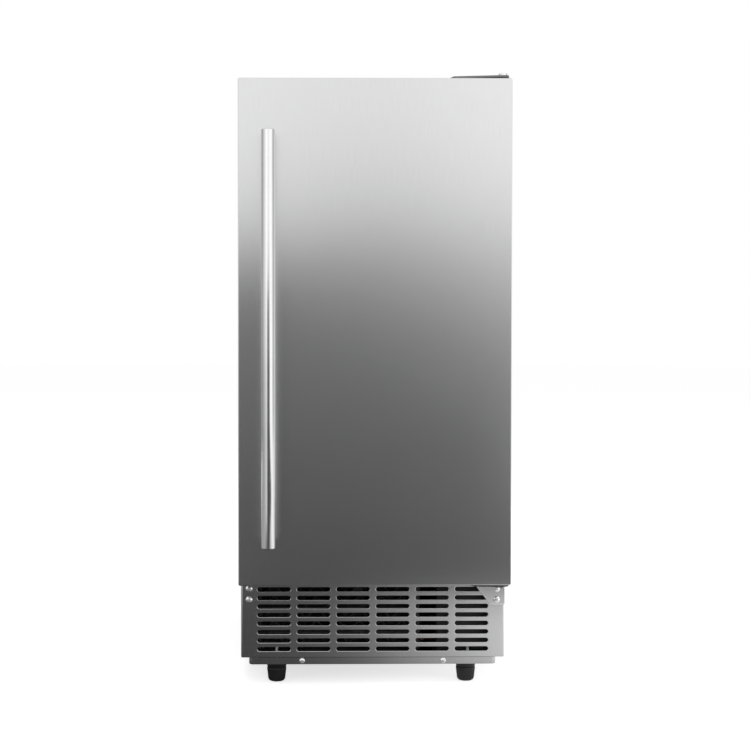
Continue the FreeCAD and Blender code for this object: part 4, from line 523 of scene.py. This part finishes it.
piece("slotted_grille", vent_grille(), "cabinet", GRILLE_STEEL, "vent_grille")
piece("vented_cover", service_cover(), "cabinet", ZINC, "service_cover")


# Base pan, feet and sockets

PAN_HALF, PAN_CORNER = 175, 6


def under(node):
    """Point at height 0 under a node's middle."""
    return (*box(node)[2][:2], 0)


def base_pan():
    """Drawn tray: its outline's lower edge rolls under, and the floor closes it. Two flanges carry the wrapper."""
    low, high, middle, size = box("base_pan")
    roll, lap, sheet = 1.8, 4, 1.5
    rows = [(2 * roll, PAN_CORNER - 2 * roll, 0), *((i, PAN_CORNER - i, d) for i, d in rolled(roll, 7)),
            (0, PAN_CORNER, size[2])]
    tray = rings(drawn_in((2 * PAN_HALF, size[1]), rows, (0, middle[1]), low[2]), FIRST, X, Y, Z)
    flange = soft_block((PAN_HALF - lap, low[1] + 12, high[2] - sheet), high, 0.4, axis=2)
    return [tray, flange, (flange[0] * [-1, 1, 1], flange[1])]


def levelling_foot(node):
    """Tapered cap whose grip ripples with the angle, over a sole that curves in with a quarter ellipse; its stud."""
    stud_top, centre = box(node)[1][2], under(node)
    top, sole, waist, stud = 19.9, 7.4, (12.45, 5.8), 5
    curve = [(sole + 5.0 * math.sin(t), 5.6 * (1 - math.cos(t))) for t in np.linspace(0, math.pi / 2, 10)[1:]]
    grip = [(waist[0] + 1.5 * t, waist[1] + (top - 6.9) * t) for t in np.linspace(0.05, 1, 8)]
    lip = [(13.6, top - 0.35), (12.9, top)]
    return [turned([(0.1, 0), (sole, 0), *curve, waist], centre, sides=168, ends=FIRST),
            turned([waist, *grip, *lip], centre, sides=168, flutes=28, depth=0.035, ends=LAST),
            turned([(stud, top - 1), (stud, stud_top)], centre, sides=40)]


def leg_sockets():
    """Collars under the pan, plain turned rings with a soft lower edge."""
    z, pan = box("leg_sockets")[0][2], box("base_pan")[0][2]
    profile = [(5.4, z), (12.8, z), (13.6, z + 0.6), (14.1, z + 3), (14.6, pan)]
    return [turned(profile, under(node), sides=72, ends=OPEN) for node in FEET]


def bolt_ends():
    """Threaded ends of the pan's front bolts: the radius swings with the height once a thread."""
    radius, thread, length, turns = 2.6, 0.25, 26, 26
    rise = np.linspace(0, 1, 61)
    z = box("base_pan")[0][2] + 1.5 + rise * length
    profile = np.stack([radius + thread * np.cos(2 * math.pi * turns * rise), z], -1)
    profile = np.vstack([profile, [1.8, z[-1] + 0.6]])
    return [turned(profile, (box(node)[0][0] + 14, FACE_Y + 15.5, 0), sides=32) for node in FEET[:2]]


piece("base_tray", base_pan(), "cabinet", RAIL_STEEL, "base_pan")
piece("rear_seal", [soft_block((-160, 302.5, 36), (160, 306.9, 48), 1)], "cabinet", RUBBER)
for foot_name in FEET:
    piece(foot_name + "_moulded", levelling_foot(foot_name), foot_name + "_body", FOOT, foot_name)
piece("pan_bolts", bolt_ends(), "cabinet", PLATED)
piece("foot_collars", leg_sockets(), "cabinet", FOOT, "leg_sockets")


# Screws and hinges

HEAD_HEIGHT = 2.4


def solids_of(node):
    """Boxes of a node's separate solids: joined points take the lowest label among them until none changes."""
    mesh = nodes[node].data
    points = np.empty(3 * len(mesh.vertices))
    mesh.vertices.foreach_get("co", points)
    ends = np.empty(2 * len(mesh.edges), int)
    mesh.edges.foreach_get("vertices", ends)
    points, same = np.unique(points.reshape(-1, 3).round(6), axis=0, return_inverse=True)
    a, b = same.reshape(-1)[ends].reshape(-1, 2).T
    label, before = np.arange(len(points)), -1
    while (label != before).any():
        before = label.copy()
        np.minimum.at(label, a, before[b])
        np.minimum.at(label, b, before[a])
    return [(points[label == k].min(0) / MM, points[label == k].max(0) / MM) for k in np.unique(label)]


def pan_head(seat, out, radius):
    """Pan head: a low dome on a short rim, with a cross recess of four lobes sunk into it."""
    rim, arm_width, arm_reach, sunk = 0.42, 0.6, 2.7, 1.5
    dome = [(radius * s, HEAD_HEIGHT * (rim + (1 - rim) * (1 - s ** 2.4))) for s in np.linspace(0, 1, 12)]
    vertices, faces = turned([(radius, 0)] + dome[::-1], seat, out, 64, ends=LAST)
    p = vertices - seat
    across, up = p @ X, p @ np.cross(out, X)
    r, angle = np.hypot(across, up), np.arctan2(up, across) + math.pi / 4
    arm = np.clip(1 - (np.minimum(np.abs(r * np.sin(angle)), np.abs(r * np.cos(angle))) / arm_width) ** 4, 0, 1)
    reach = np.clip((arm_reach - r) / 0.5, 0, 1)
    return vertices - out * (arm * reach * sunk)[:, None], faces


def screws(node, direction_of, radius=4.0):
    """A head on every solid of a node, seated where its solid's head begins; those that face +Y are hexagons."""
    hexagon = [(4, 0), (4, 1.9), (3.3, HEAD_HEIGHT)]
    surfaces = []
    for low, high in solids_of(node):
        out, axis = direction_of(low), int(np.argmax(high - low))
        seat = (low + high) / 2
        seat[axis] = (high if out[axis] > 0 else low)[axis] - out[axis] * HEAD_HEIGHT
        surfaces.append(turned(hexagon, seat, out, 6, ends=LAST) if out[1] > 0 else pan_head(seat, out, radius))
    return surfaces


piece("panel_screw_heads", screws("panel_screws", lambda low: -Y if low[1] < -100 else Y),
      "cabinet", PLATED, "panel_screws")
piece("hinge_screw_heads", screws("hinge_screws", lambda low: Z if low[2] > 500 else -Y, 4.7),
      "cabinet", PLATED, "hinge_screws")


def top_hinge():
    """Plate on the cabinet's top: its outline with rounded corners runs out over the pin, through its thickness."""
    low, high, *_ = box("top_hinge_bracket")
    pin_x, pin_y, _ = box("hinge_pins")[2]
    left = low[0] + 4
    points = [(high[0], high[1]), (left, high[1]), (left, FACE_Y - 2), (left + 5, pin_y + 7), (pin_x, pin_y - 9),
              (pin_x + 7.5, pin_y - 5), (high[0], pin_y + 6)]
    return [plate(rounded_loop(points, 4), (0, 0, low[2]), X, Y, Z, high[2] - low[2], 0.4)]


def hinge_leaf():
    """Leaf on the front of the cabinet: its slanting outline with rounded corners, through its thickness."""
    (_, _, foot), (right, _, top), *_ = box("lower_hinge_bracket")
    points = [(right - 21, foot), (right, foot), (right, top), (right - 45, top), (right - 45, top - 5)]
    return [plate(rounded_loop(points, 1.5), (0, FACE_Y, 0), X, Z, -Y, 3, 0.8)]


def hinge_arm():
    """Arm under the door: its outline runs round the pin in an arc, through its thickness."""
    right, _, top = box("lower_hinge_bracket")[1]
    pin_x, pin_y, _ = box("hinge_pins")[2]
    left, sheet = right - 39, 3
    points = [(right, FACE_Y), (left, FACE_Y), (left - 16, FACE_Y - 12), (left - 16, pin_y + 8),
              (left - 10, pin_y - 6), (pin_x + 2, pin_y - 9), (right, pin_y - 5)]
    return [plate(rounded_loop(points, 5), (0, 0, top - sheet), X, Y, Z, sheet, 0.5)]


piece("hinge_plate", top_hinge(), "cabinet", HINGE, "top_hinge_bracket")
# Leaf and arm are one bracket: the leaf carries a painted highlight, the arm painted shade.
piece("hinge_leaf", hinge_leaf(), "cabinet", LEAF_PAINTED_LIGHT, "lower_hinge_bracket")
piece("hinge_arm", hinge_arm(), "cabinet", ARM_PAINTED_SHADE, "lower_hinge_bracket")


# Cabinet shell and liners

SHELL_SIDE = 0.9  # how far the shell's sides stand in from the solid's
LINER_HALF, LINER_TOP, LINER_BACK = 154, 820, 266
PANEL_UP = 528  # middle height of the bin's opening and of the frame in it


def cabinet_shell():
    """Bent sheet: a hoop carried from back to front, then rolled a quarter circle into the front frame."""
    low, high, *_ = box("cabinet_wrapper")
    front, bay, roll, seam, bend = low[1], box("bay_ceiling")[0][2], 1.2, 13.5, 2.5

    def hoop(y, inset=0.0, foot=()):
        """Up one side, over the top and down the other, drawn in by the inset."""
        half, top = high[0] - SHELL_SIDE - inset, high[2] - inset
        sides = [*foot, (half, bay), (half, top)]
        line = rounded_path([(-x, z) for x, z in sides] + sides[::-1], max(bend - inset, 0.4))
        return np.stack([line[:, 0], np.full(len(line), y), line[:, 1]], -1)

    foot = [(high[0] - SHELL_SIDE - 0.6, low[2])]  # further in than the sides above it
    body = [hoop(y, foot=foot) for y in (high[1], 150, 0, -150, front + seam)]
    rows = [(0, seam), (0, 7), *((d, i) for i, d in rolled(roll, 7)), (23, 0), (24, 1), (24, 6)]
    return [grid(np.array(body)), grid(np.array([hoop(front + behind, inset) for inset, behind in rows]))]


def bin_liner():
    """Formed liner: rounded rectangles from front to back whose lower side follows the lip, floor, slope and step."""
    low, _, middle, size = box("bin_liner")
    front, corner, edge, draft, opening = low[1], 15, 4, 0.006, (2 * LINER_HALF, 584)
    floor = rounded_path([(front + edge, 236), (-210, 236), (-192, 200), (22, 200), (38, 330),
                          (LINER_BACK - corner, 338)], 9, 10)
    rim = drawn_in(size[::2], [(0, 0.6, 2.6), (0, 0.6, 0.5), (0.4, 0.6, 0)], (0, middle[2]), front)
    rim += drawn_in(opening, [(-i, corner + i, d) for i, d in rolled(edge, 8)], (0, PANEL_UP), front)
    walls = [(2 * (LINER_HALF - draft * (y - front)), LINER_TOP - z, corner, 0, (LINER_TOP + z) / 2, y)
             for y, z in floor[1:]]
    width, height, _, _, up, _ = walls[-1]
    back = [(i, max(corner - i, 0.3), -d) for i, d in rolled(corner, 8)[-2::-1]]
    return [rings(rim + walls + drawn_in((width, height), back, (0, up), LINER_BACK), LAST)]


def raised_frame(back, shrink=0.0):
    """Rows of the raised frame on the door's inner panel, both its sides drawn in by the shrink."""
    side = [(-3.2, 0), (-1.6, 0.3), (-0.5, 1.2), (0.2, 2.8), (1.6, 8.6), (2.4, 10.4), (3.6, 11.6), (5.2, 12), (39, 12),
            (40.8, 11.6), (42, 10.4), (42.8, 8.6), (44.2, 2.8), (44.9, 1.2), (46, 0.3), (47.6, 0), (62, 0),
            (63.2, 0.3), (64.2, 1.4), (65.4, 1.8), (67, 1.8)]
    side = [(i + (shrink if i < 22 else -shrink), height) for i, height in side]
    return drawn_in((282, 558), [(i, max(17 - 0.16 * i, 5), height) for i, height in side], (0, PANEL_UP), back)


def door_liner():
    """Formed inner panel: flat to the seal's line, a raised frame with sloping rounded sides, and a field in it."""
    _, high, middle, size = box("door_liner")
    back = high[1] - 12
    rows = drawn_in(size[::2], [(0, 3, -2), (0, 3, -0.5), (0.5, 3, 0)], (0, middle[2]), back)
    return [rings(rows + raised_frame(back), LAST)]


def door_foam():
    """Foam core: it fills the pan, and swells into the hollow of the raised frame."""
    low, _, middle, size = box("door_foam")
    back = box("door_liner")[1][1] - 14
    steps = [(0, 3, low[1] - back), (0, 3, -4), (12, 3, -4), (12, 3, -6), (30, 6, -6), (30, 6, 0)]
    rows = drawn_in(size[::2], steps, (0, middle[2]), back)
    return [rings(rows + raised_frame(back, 1.6)[:17], CLOSED)]


def door_gasket():
    """Magnetic seal: its hollow section, a foot, a folded waist and a flat head, carried round the door."""
    _, high, middle, size = box("door_gasket")
    depth = 9.7
    section = [(1, 0.1), (0.3, 0.5), (0.2, 1.6), (1.9, 3), (2.1, 3.9), (0.5, 5), (0.1, 6), (0.1, 8.8),
               (0.6, 9.5), (1.4, depth), (12.6, depth), (13.4, 9.5), (13.9, 8.8), (13.9, 6), (13.5, 5),
               (11.8, 3.9), (12, 3), (13.8, 1.6), (13.7, 0.5), (13, 0.1), (1, 0.1)]
    rows = [(i, max(3.5 - 0.15 * i, 1), d) for i, d in section]
    return [rings(drawn_in(size[::2], rows, (0, middle[2]), high[1] - depth), OPEN, steps=3)]


piece("cabinet_shell", cabinet_shell(), "cabinet", COATED, "cabinet_wrapper", solid=0.9)
piece("formed_liner", bin_liner(), "cabinet", LINER, "bin_liner", sharp=60, solid=0.5, side=1.0)
piece("door_inner_panel", door_liner(), "door", LINER, "door_liner", sharp=60)
piece("door_core", door_foam(), "door", FOAM, "door_foam", sharp=50)
piece("magnetic_seal", door_gasket(), "door", GASKET, "door_gasket", sharp=50)


# Ice maker proper


def water_trough():
    """Open tray: outline carried down, its lower edge rolled, its rim turned out; hooks and the float's post."""
    low, high, middle, size = box("water_trough")
    foot, rim, deep, wall, roll, sheet = low[2], high[2] - 3, 56, 4.6, 5, 2.5
    rows = [(12, foot), *((2.2 + i, foot + d) for i, d in rolled(roll, 7)), (1.6, rim - 6), (0.2, rim - 5),
            (0, rim - 4), (0, rim - 0.8), (0.6, rim), (2.6, rim), (3.4, rim - 0.8), (wall, foot + 8),
            *((wall + d, foot + sheet + i) for i, d in rolled(roll, 7)[1:]), (14, foot + sheet)]
    rows = [(i, max(8 - 0.5 * i, 2), z) for i, z in rows]
    tray = rings(drawn_in((size[0], deep), rows, (middle[0], low[1] + deep / 2)), CLOSED, X, Y, Z, 6)
    hooks = [soft_block((x, low[1] + deep - 3, foot + 20), (x + 4, LINER_BACK, rim - 2), 0.8, axis=0)
             for x in (low[0] + 8, high[0] - 34)]
    rest, top = box("level_float")[0][2], high[2]
    stem = [(4, foot + 2), (4, rest - 0.6), (2.4, rest - 0.4), (2.4, top - 2.2), (4.2, top - 2), (4.2, top - 0.6),
            (3.4, top)]
    return [tray, *hooks, turned(stem, under("level_float"), sides=32)]


def level_float():
    """Ring float: a rounded section turned about its post."""
    low, _, middle, size = box("level_float")
    half = [(3, 0.6), (3.6, 0), (9.4, 0), (10.6, 0.8), (11, 2.2)]
    section = half + [(radius, size[2] - height) for radius, height in half[::-1]] + half[:1]
    return [turned(section, (*middle[:2], low[2]), ends=OPEN)]


def water_curtain():
    """Hanging flap: a flat sheet whose ribs stand out as bell curves of the width and whose foot curls in."""
    low, high, *_ = box("water_curtain")
    y, pin_z, foot, half, bend, pin = low[1] + 4, high[2] - 2.5, low[2] + 8, high[0] - 4.7, 5, 2.4
    down = [(y, z) for z in np.linspace(pin_z - 1, foot, 26)]
    line = np.array(down + [(y + bend - across, foot - up) for across, up in arc((0, 0), bend, 0, 78)[1:]])
    x, rib_width, rib_height = np.linspace(-half, half, 241), 1.6, 2.4
    ribs = np.exp(-((x[:, None] - half * np.array([-0.75, -0.25, 0.25, 0.75])) / rib_width) ** 2).sum(1)
    fade = np.clip((line[:, 1] - foot) / 12, 0, 1) * np.clip((pin_z - 8 - line[:, 1]) / 10, 0, 1)
    fade = fade * fade * (3 - 2 * fade)
    points = np.empty((len(line), len(x), 3))
    points[..., 0] = x
    points[..., 1] = line[:, :1] - rib_height * fade[:, None] * ribs
    points[..., 2] = line[:, 1:]
    rod = turned([(pin, 0), (pin, -low[0]), (pin, high[0] - low[0])], (low[0], y, pin_z), X, 20)
    return [grid(points)], [rod]


def thermostat_bulb():
    """Bulb with domed ends, and its two snap clips: a foot on the wall and a ring round the bulb."""
    low, high, middle, size = box("ice_level_probe")
    x, z, radius = high[0] - 9, middle[2], 3.9
    first, last = domed_ends(radius, radius, size[1], 0.1, 7)
    ring = [(4.1, -4), (5, -4), (5.2, -3.6), (5.2, 3.6), (5, 4), (4.1, 4)]
    clips = []
    for y in (low[1] + 16, high[1] - 16):
        clips.append(turned(ring, (x, y, z), Y, 32, ends=OPEN))
        clips.append(soft_block((x + 4, y - 4, z - 2.6), (high[0], y + 4, z + 2.6), 0.6))
    return [turned(first + last, (x, low[1], z), Y, 32)], clips


piece("tray", water_trough(), "cabinet", WHITE, "water_trough")
piece("ring_float", level_float(), "float", FLOAT, "level_float", sharp=50)
flap, trunnion = water_curtain()
piece("curtain_flap", flap, "curtain", CURTAIN, "water_curtain", solid=1.6, side=0.0)
piece("curtain_trunnion", trunnion, "curtain", WHITE, "water_curtain")
bulb, holders = thermostat_bulb()
piece("bulb", bulb, "cabinet", CHROMED, "ice_level_probe")
piece("bulb_holders", holders, "cabinet", WHITE, "ice_level_probe")


# Controls on the leaning fascia

LEAN = math.atan2(16, 50)
OUT = -math.cos(LEAN) * Y - math.sin(LEAN) * Z
RISE = math.cos(LEAN) * Z - math.sin(LEAN) * Y
CONTROLS_UP = 25


def on_fascia(node, out=0.0):
    """Point on the fascia in line with a node, part way up its slope, and out from it."""
    low = box("control_housing")[0]
    return np.array([box(node)[2][0], low[1] + 16, low[2]]) + CONTROLS_UP * RISE + out * OUT


def push_button(node):
    """Cap with a rolled edge and a shallow hollow: its face falls with the square of the distance from the rim."""
    radius, hollow = 7.9, [(7.0 * t, 1.7 + 0.35 * t * t) for t in np.linspace(1, 0.02, 8)]
    profile = [(radius, -3), (radius, 1.2)] + arc((7.1, 1.3), 0.8, 10, 90, 5) + hollow
    return [turned(profile, on_fascia(node), OUT, 64)]


def button_rings():
    """Trim rings on the fascia: a half-round section turned about each button."""
    profile = [(8.35, -0.5), (8.35, 0.3)] + arc((9.2, 0.2), 0.85, 170, 10) + [(10.05, -0.2)]
    return [turned(profile, on_fascia(node), OUT, 64, ends=OPEN) for node in BUTTONS]


def display_window():
    """Smoked window: a rounded plate laid on the leaning fascia."""
    line = outline(box("display_window")[3][0], 24, 2.5, 6)
    return [plate(line, on_fascia("display_window", -1.4), X, RISE, OUT, 1.8, 0.35)]


for button in BUTTONS:
    piece(button + "_cap", push_button(button), button + "_body", BUTTON, button)
piece("button_trims", button_rings(), "cabinet", CHROMED)
piece("smoked_display", display_window(), "cabinet", WINDOW, "display_window")
piece("bin_light", [soft_block(*box("light_lens")[:2], 0.8, 4, axis=2)], "cabinet", LENS, "light_lens")


# Studio, in metres

AROUND = (-0.147, -0.3185)  # the handle's axis: directions in the studio are taken about it
CARD_DISTANCE, CARD_HEIGHT = 2.13, 2.6
FLOOR_RADIUS, FLOOR_SIDES = 9, 96


def ramp(tree, value, stops):
    """Smooth curve through (position, level) stops."""
    first, last, most = stops[0][0], stops[-1][0], max(level for _, level in stops)
    band = add(tree, "ValToRGB", {"Fac": remap(tree, value, first, last)})
    elements = band.color_ramp.elements
    while len(elements) < len(stops):
        elements.new(0.5)
    for element, (position, level) in zip(elements, stops):
        element.position = (position - first) / (last - first)
        element.color = (level / most,) * 3 + (1,)
    band.color_ramp.interpolation = "B_SPLINE"
    return product(tree, band.outputs["Color"], most)


def step(tree, value, start, end):
    """0 before start, 1 after end, smooth between."""
    return remap(tree, value, start, end, interpolation_type="SMOOTHSTEP")


def mixed(tree, share, a, b):
    """a where the share is 0, b where it is 1."""
    return add(tree, "Mix", {0: share, 2: a, 3: b}, data_type="FLOAT").outputs[0]


def direction(tree, place):
    """Bearing in degrees about the handle's axis, 0 ahead and positive to the right; the place's parts."""
    part = add(tree, "SeparateXYZ", {0: place}).outputs
    across = maths(tree, "SUBTRACT", part["X"], AROUND[0])
    ahead = maths(tree, "SUBTRACT", AROUND[1], part["Y"])
    return product(tree, maths(tree, "ARCTAN2", across, ahead), math.degrees(1)), part


def side_level(tree, bearing):
    """Panels at the two sides: brightest either side of the middle, dim far round to the left."""
    return ramp(tree, bearing, [(-150, 0.32), (-105, 0.42), (-80, 0.66), (-60, 0.86), (-42, 1.05), (-25, 1.3),
                                (0, 1.3), (25, 1.32), (60, 1.34), (72, 0.95), (80, 0.55), (95, 0.6), (112, 0.88),
                                (135, 1.15), (150, 1.2)])


def middle_share(tree, bearing):
    """1 in the dark window straight ahead, 0 at the side panels."""
    return product(tree, step(tree, bearing, -21, -13), step(tree, bearing, 26, 20))


def wall_shade(tree, place):
    """Straight ahead dark low down and bright high up, the change lower and slower on the right."""
    bearing, part = direction(tree, place)
    x, z = part["X"], part["Z"]
    heights = (0, 0.1, 0.26, 0.42, 0.5, 0.56, 0.62, 0.67, 0.72, 0.8, 0.93)

    def rise(top, *levels):
        return ramp(tree, z, [*zip(heights, levels), *top])

    left = rise([(1.4, 1.19)], 0.12, 0.13, 0.165, 0.17, 0.17, 0.19, 0.34, 0.72, 0.98, 1.12, 1.18)
    centre = rise([(1.1, 1.1), (1.4, 1.12)], 0.115, 0.125, 0.16, 0.2, 0.235, 0.28, 0.36, 0.5, 0.66, 0.82, 0.98)
    right = rise([(1.4, 1.28)], 0.1, 0.075, 0.14, 0.31, 0.45, 0.59, 0.71, 0.84, 0.96, 1.13, 1.24)
    ahead = mixed(tree, step(tree, x, 0.08, 0.52), mixed(tree, step(tree, x, -0.3, 0.14), left, centre), right)
    height = ramp(tree, z, [(0, 0.62), (0.3, 0.85), (0.55, 1), (0.9, 1.12), (1.4, 1.15)])
    side = product(tree, side_level(tree, bearing), mixed(tree, step(tree, bearing, -5, 10), height, 1))
    return mixed(tree, middle_share(tree, bearing), side, ahead)


def ground_shade(tree, place):
    """On the floor: dark straight ahead, and close to the object dark on the left and bright on the right."""
    bearing, part = direction(tree, place)
    x, y = part["X"], part["Y"]
    far_left = ramp(tree, bearing, [(-150, 0.3), (-60, 0.5), (-35, 0.8), (0, 0.85)])
    side = mixed(tree, step(tree, bearing, 0, 15), far_left, side_level(tree, bearing))
    before_door = product(tree, step(tree, x, -0.42, -0.3), step(tree, x, 0.85, 0.55))
    ahead = maths(tree, "MAXIMUM", middle_share(tree, bearing), before_door)
    far = mixed(tree, ahead, side, ramp(tree, y, [(-2.45, 0.12), (-1.9, 0.1), (-1.1, 0.085)]))
    near = ramp(tree, x, [(-0.5, 0.3), (-0.3, 0.07), (-0.18, 0.07), (-0.1, 0.09), (-0.01, 0.16), (0.06, 0.32),
                          (0.14, 0.5), (0.22, 0.78), (0.34, 0.95), (0.6, 1.2)])
    close = product(tree, step(tree, y, -0.97, -0.83), step(tree, x, -0.75, -0.5))
    return mixed(tree, close, far, near)


def emptied(data):
    """Node tree of a material or a world, with nothing in it."""
    data.use_nodes = True
    data.node_tree.nodes.clear()
    return data.node_tree


def seen_itself(tree):
    """1 for a ray that sees the surface straight, in a reflection or through something clear, else 0."""
    path = add(tree, "LightPath").outputs
    seen = maths(tree, "MAXIMUM", path["Is Camera Ray"], path["Is Glossy Ray"])
    return maths(tree, "MAXIMUM", seen, path["Is Transmission Ray"])


def stage_sheet(name, points, faces, shader):
    """Sheet of the studio, with the surface that shader makes."""
    mesh = bpy.data.meshes.new(name)
    mesh.from_pydata(points.tolist(), [], faces)
    thing = placed(name, mesh)
    material = bpy.data.materials.new(name)
    tree = emptied(material)
    tree.links.new(shader(tree), add(tree, "OutputMaterial").inputs["Surface"])
    mesh.materials.append(material)
    return thing


def card(name, points, shade):
    """Studio card that only reflections see, with the light that shade works out over it."""
    def glow(tree):
        place = add(tree, "TexCoord").outputs["Object"]
        return add(tree, "Emission", {"Strength": shade(tree, place)}).outputs[0]

    vertices, faces = grid(np.array(points, float))
    thing = stage_sheet(name, vertices, faces[0].tolist(), glow)
    for ray in ("camera", "diffuse", "transmission", "shadow", "volume_scatter"):
        setattr(thing, "visible_" + ray, False)


def floor_shader(tree):
    """Pale floor, lit by the lamps and lifted to white for what looks at it."""
    matt = add(tree, "BsdfDiffuse", {"Color": (0.80, 0.80, 0.80, 1)})
    glow = add(tree, "Emission", {"Strength": product(tree, seen_itself(tree), 0.65)})
    return add(tree, "AddShader", {0: matt.outputs[0], 1: glow.outputs[0]}).outputs[0]


def lamp(name, place, aim, size, power):
    """Softbox: an area lamp at a place, turned to its aim."""
    data = bpy.data.lights.new(name, "AREA")
    data.shape = "RECTANGLE"
    data.size, data.size_y = size
    data.energy = power
    thing = placed(name, data)
    thing.location = place
    way = np.subtract(aim, place)
    way /= np.linalg.norm(way)
    thing.rotation_euler = (math.acos(-way[2]), 0, -math.atan2(way[0], way[1]))
    thing.visible_camera = thing.visible_glossy = False


def world_light():
    """White surroundings, a little dimmer for the light they give than for how they look."""
    world = bpy.data.worlds.new("surroundings")
    bpy.context.scene.world = world
    tree = emptied(world)
    level = remap(tree, seen_itself(tree), 0.0, 1.0, 0.42)
    sky = add(tree, "Background", {"Color": (1, 1, 1, 1), "Strength": level})
    tree.links.new(sky.outputs[0], add(tree, "OutputWorld").inputs["Surface"])


bearings = np.radians(np.linspace(-150, 150, 76))[None, :, None]
foot_line = np.array([*AROUND, 0.0]) + CARD_DISTANCE * (np.sin(bearings) * X - np.cos(bearings) * Y)
card("wall_card", foot_line + np.array([0.0, CARD_HEIGHT])[:, None, None] * Z, wall_shade)
card("ground_card", [[(-2.4, -2.46, 0.001), (2.4, -2.46, 0.001)], [(-2.4, 0.6, 0.001), (2.4, 0.6, 0.001)]],
     ground_shade)
around = np.linspace(0, 2 * math.pi, FLOOR_SIDES, endpoint=False)[:, None]
stage_sheet("studio_floor", FLOOR_RADIUS * (np.cos(around) * X + np.sin(around) * Y), [tuple(range(FLOOR_SIDES))],
            floor_shader)
world_light()
lamp("left_softbox", (-1.7, -1.5, 1.15), (-0.1, -0.3, 0.45), (0.7, 1.5), 9)
lamp("right_softbox", (1.9, -1.6, 1.2), (0, -0.3, 0.45), (0.8, 1.5), 14)
lamp("top_softbox", (0, -0.2, 2.4), (0, 0, 0.5), (1.6, 1.6), 14)
lamp("front_softbox", (0.2, -3.2, 1.3), (0, 0, 0.5), (1.6, 1.2), 30)


# Camera

view = bpy.data.cameras.new("camera")
view.lens, view.sensor_width = 80.17, 36.0
view.shift_x, view.shift_y = 0.09, -0.0771
eye = placed("camera", view)
eye.location = (-0.1304, -2.574, 0.5742)
eye.rotation_euler = (math.radians(90 - 1.226), 0, math.radians(-0.925))
bpy.context.scene.camera = eye
bpy.context.scene.view_settings.view_transform = "Standard"
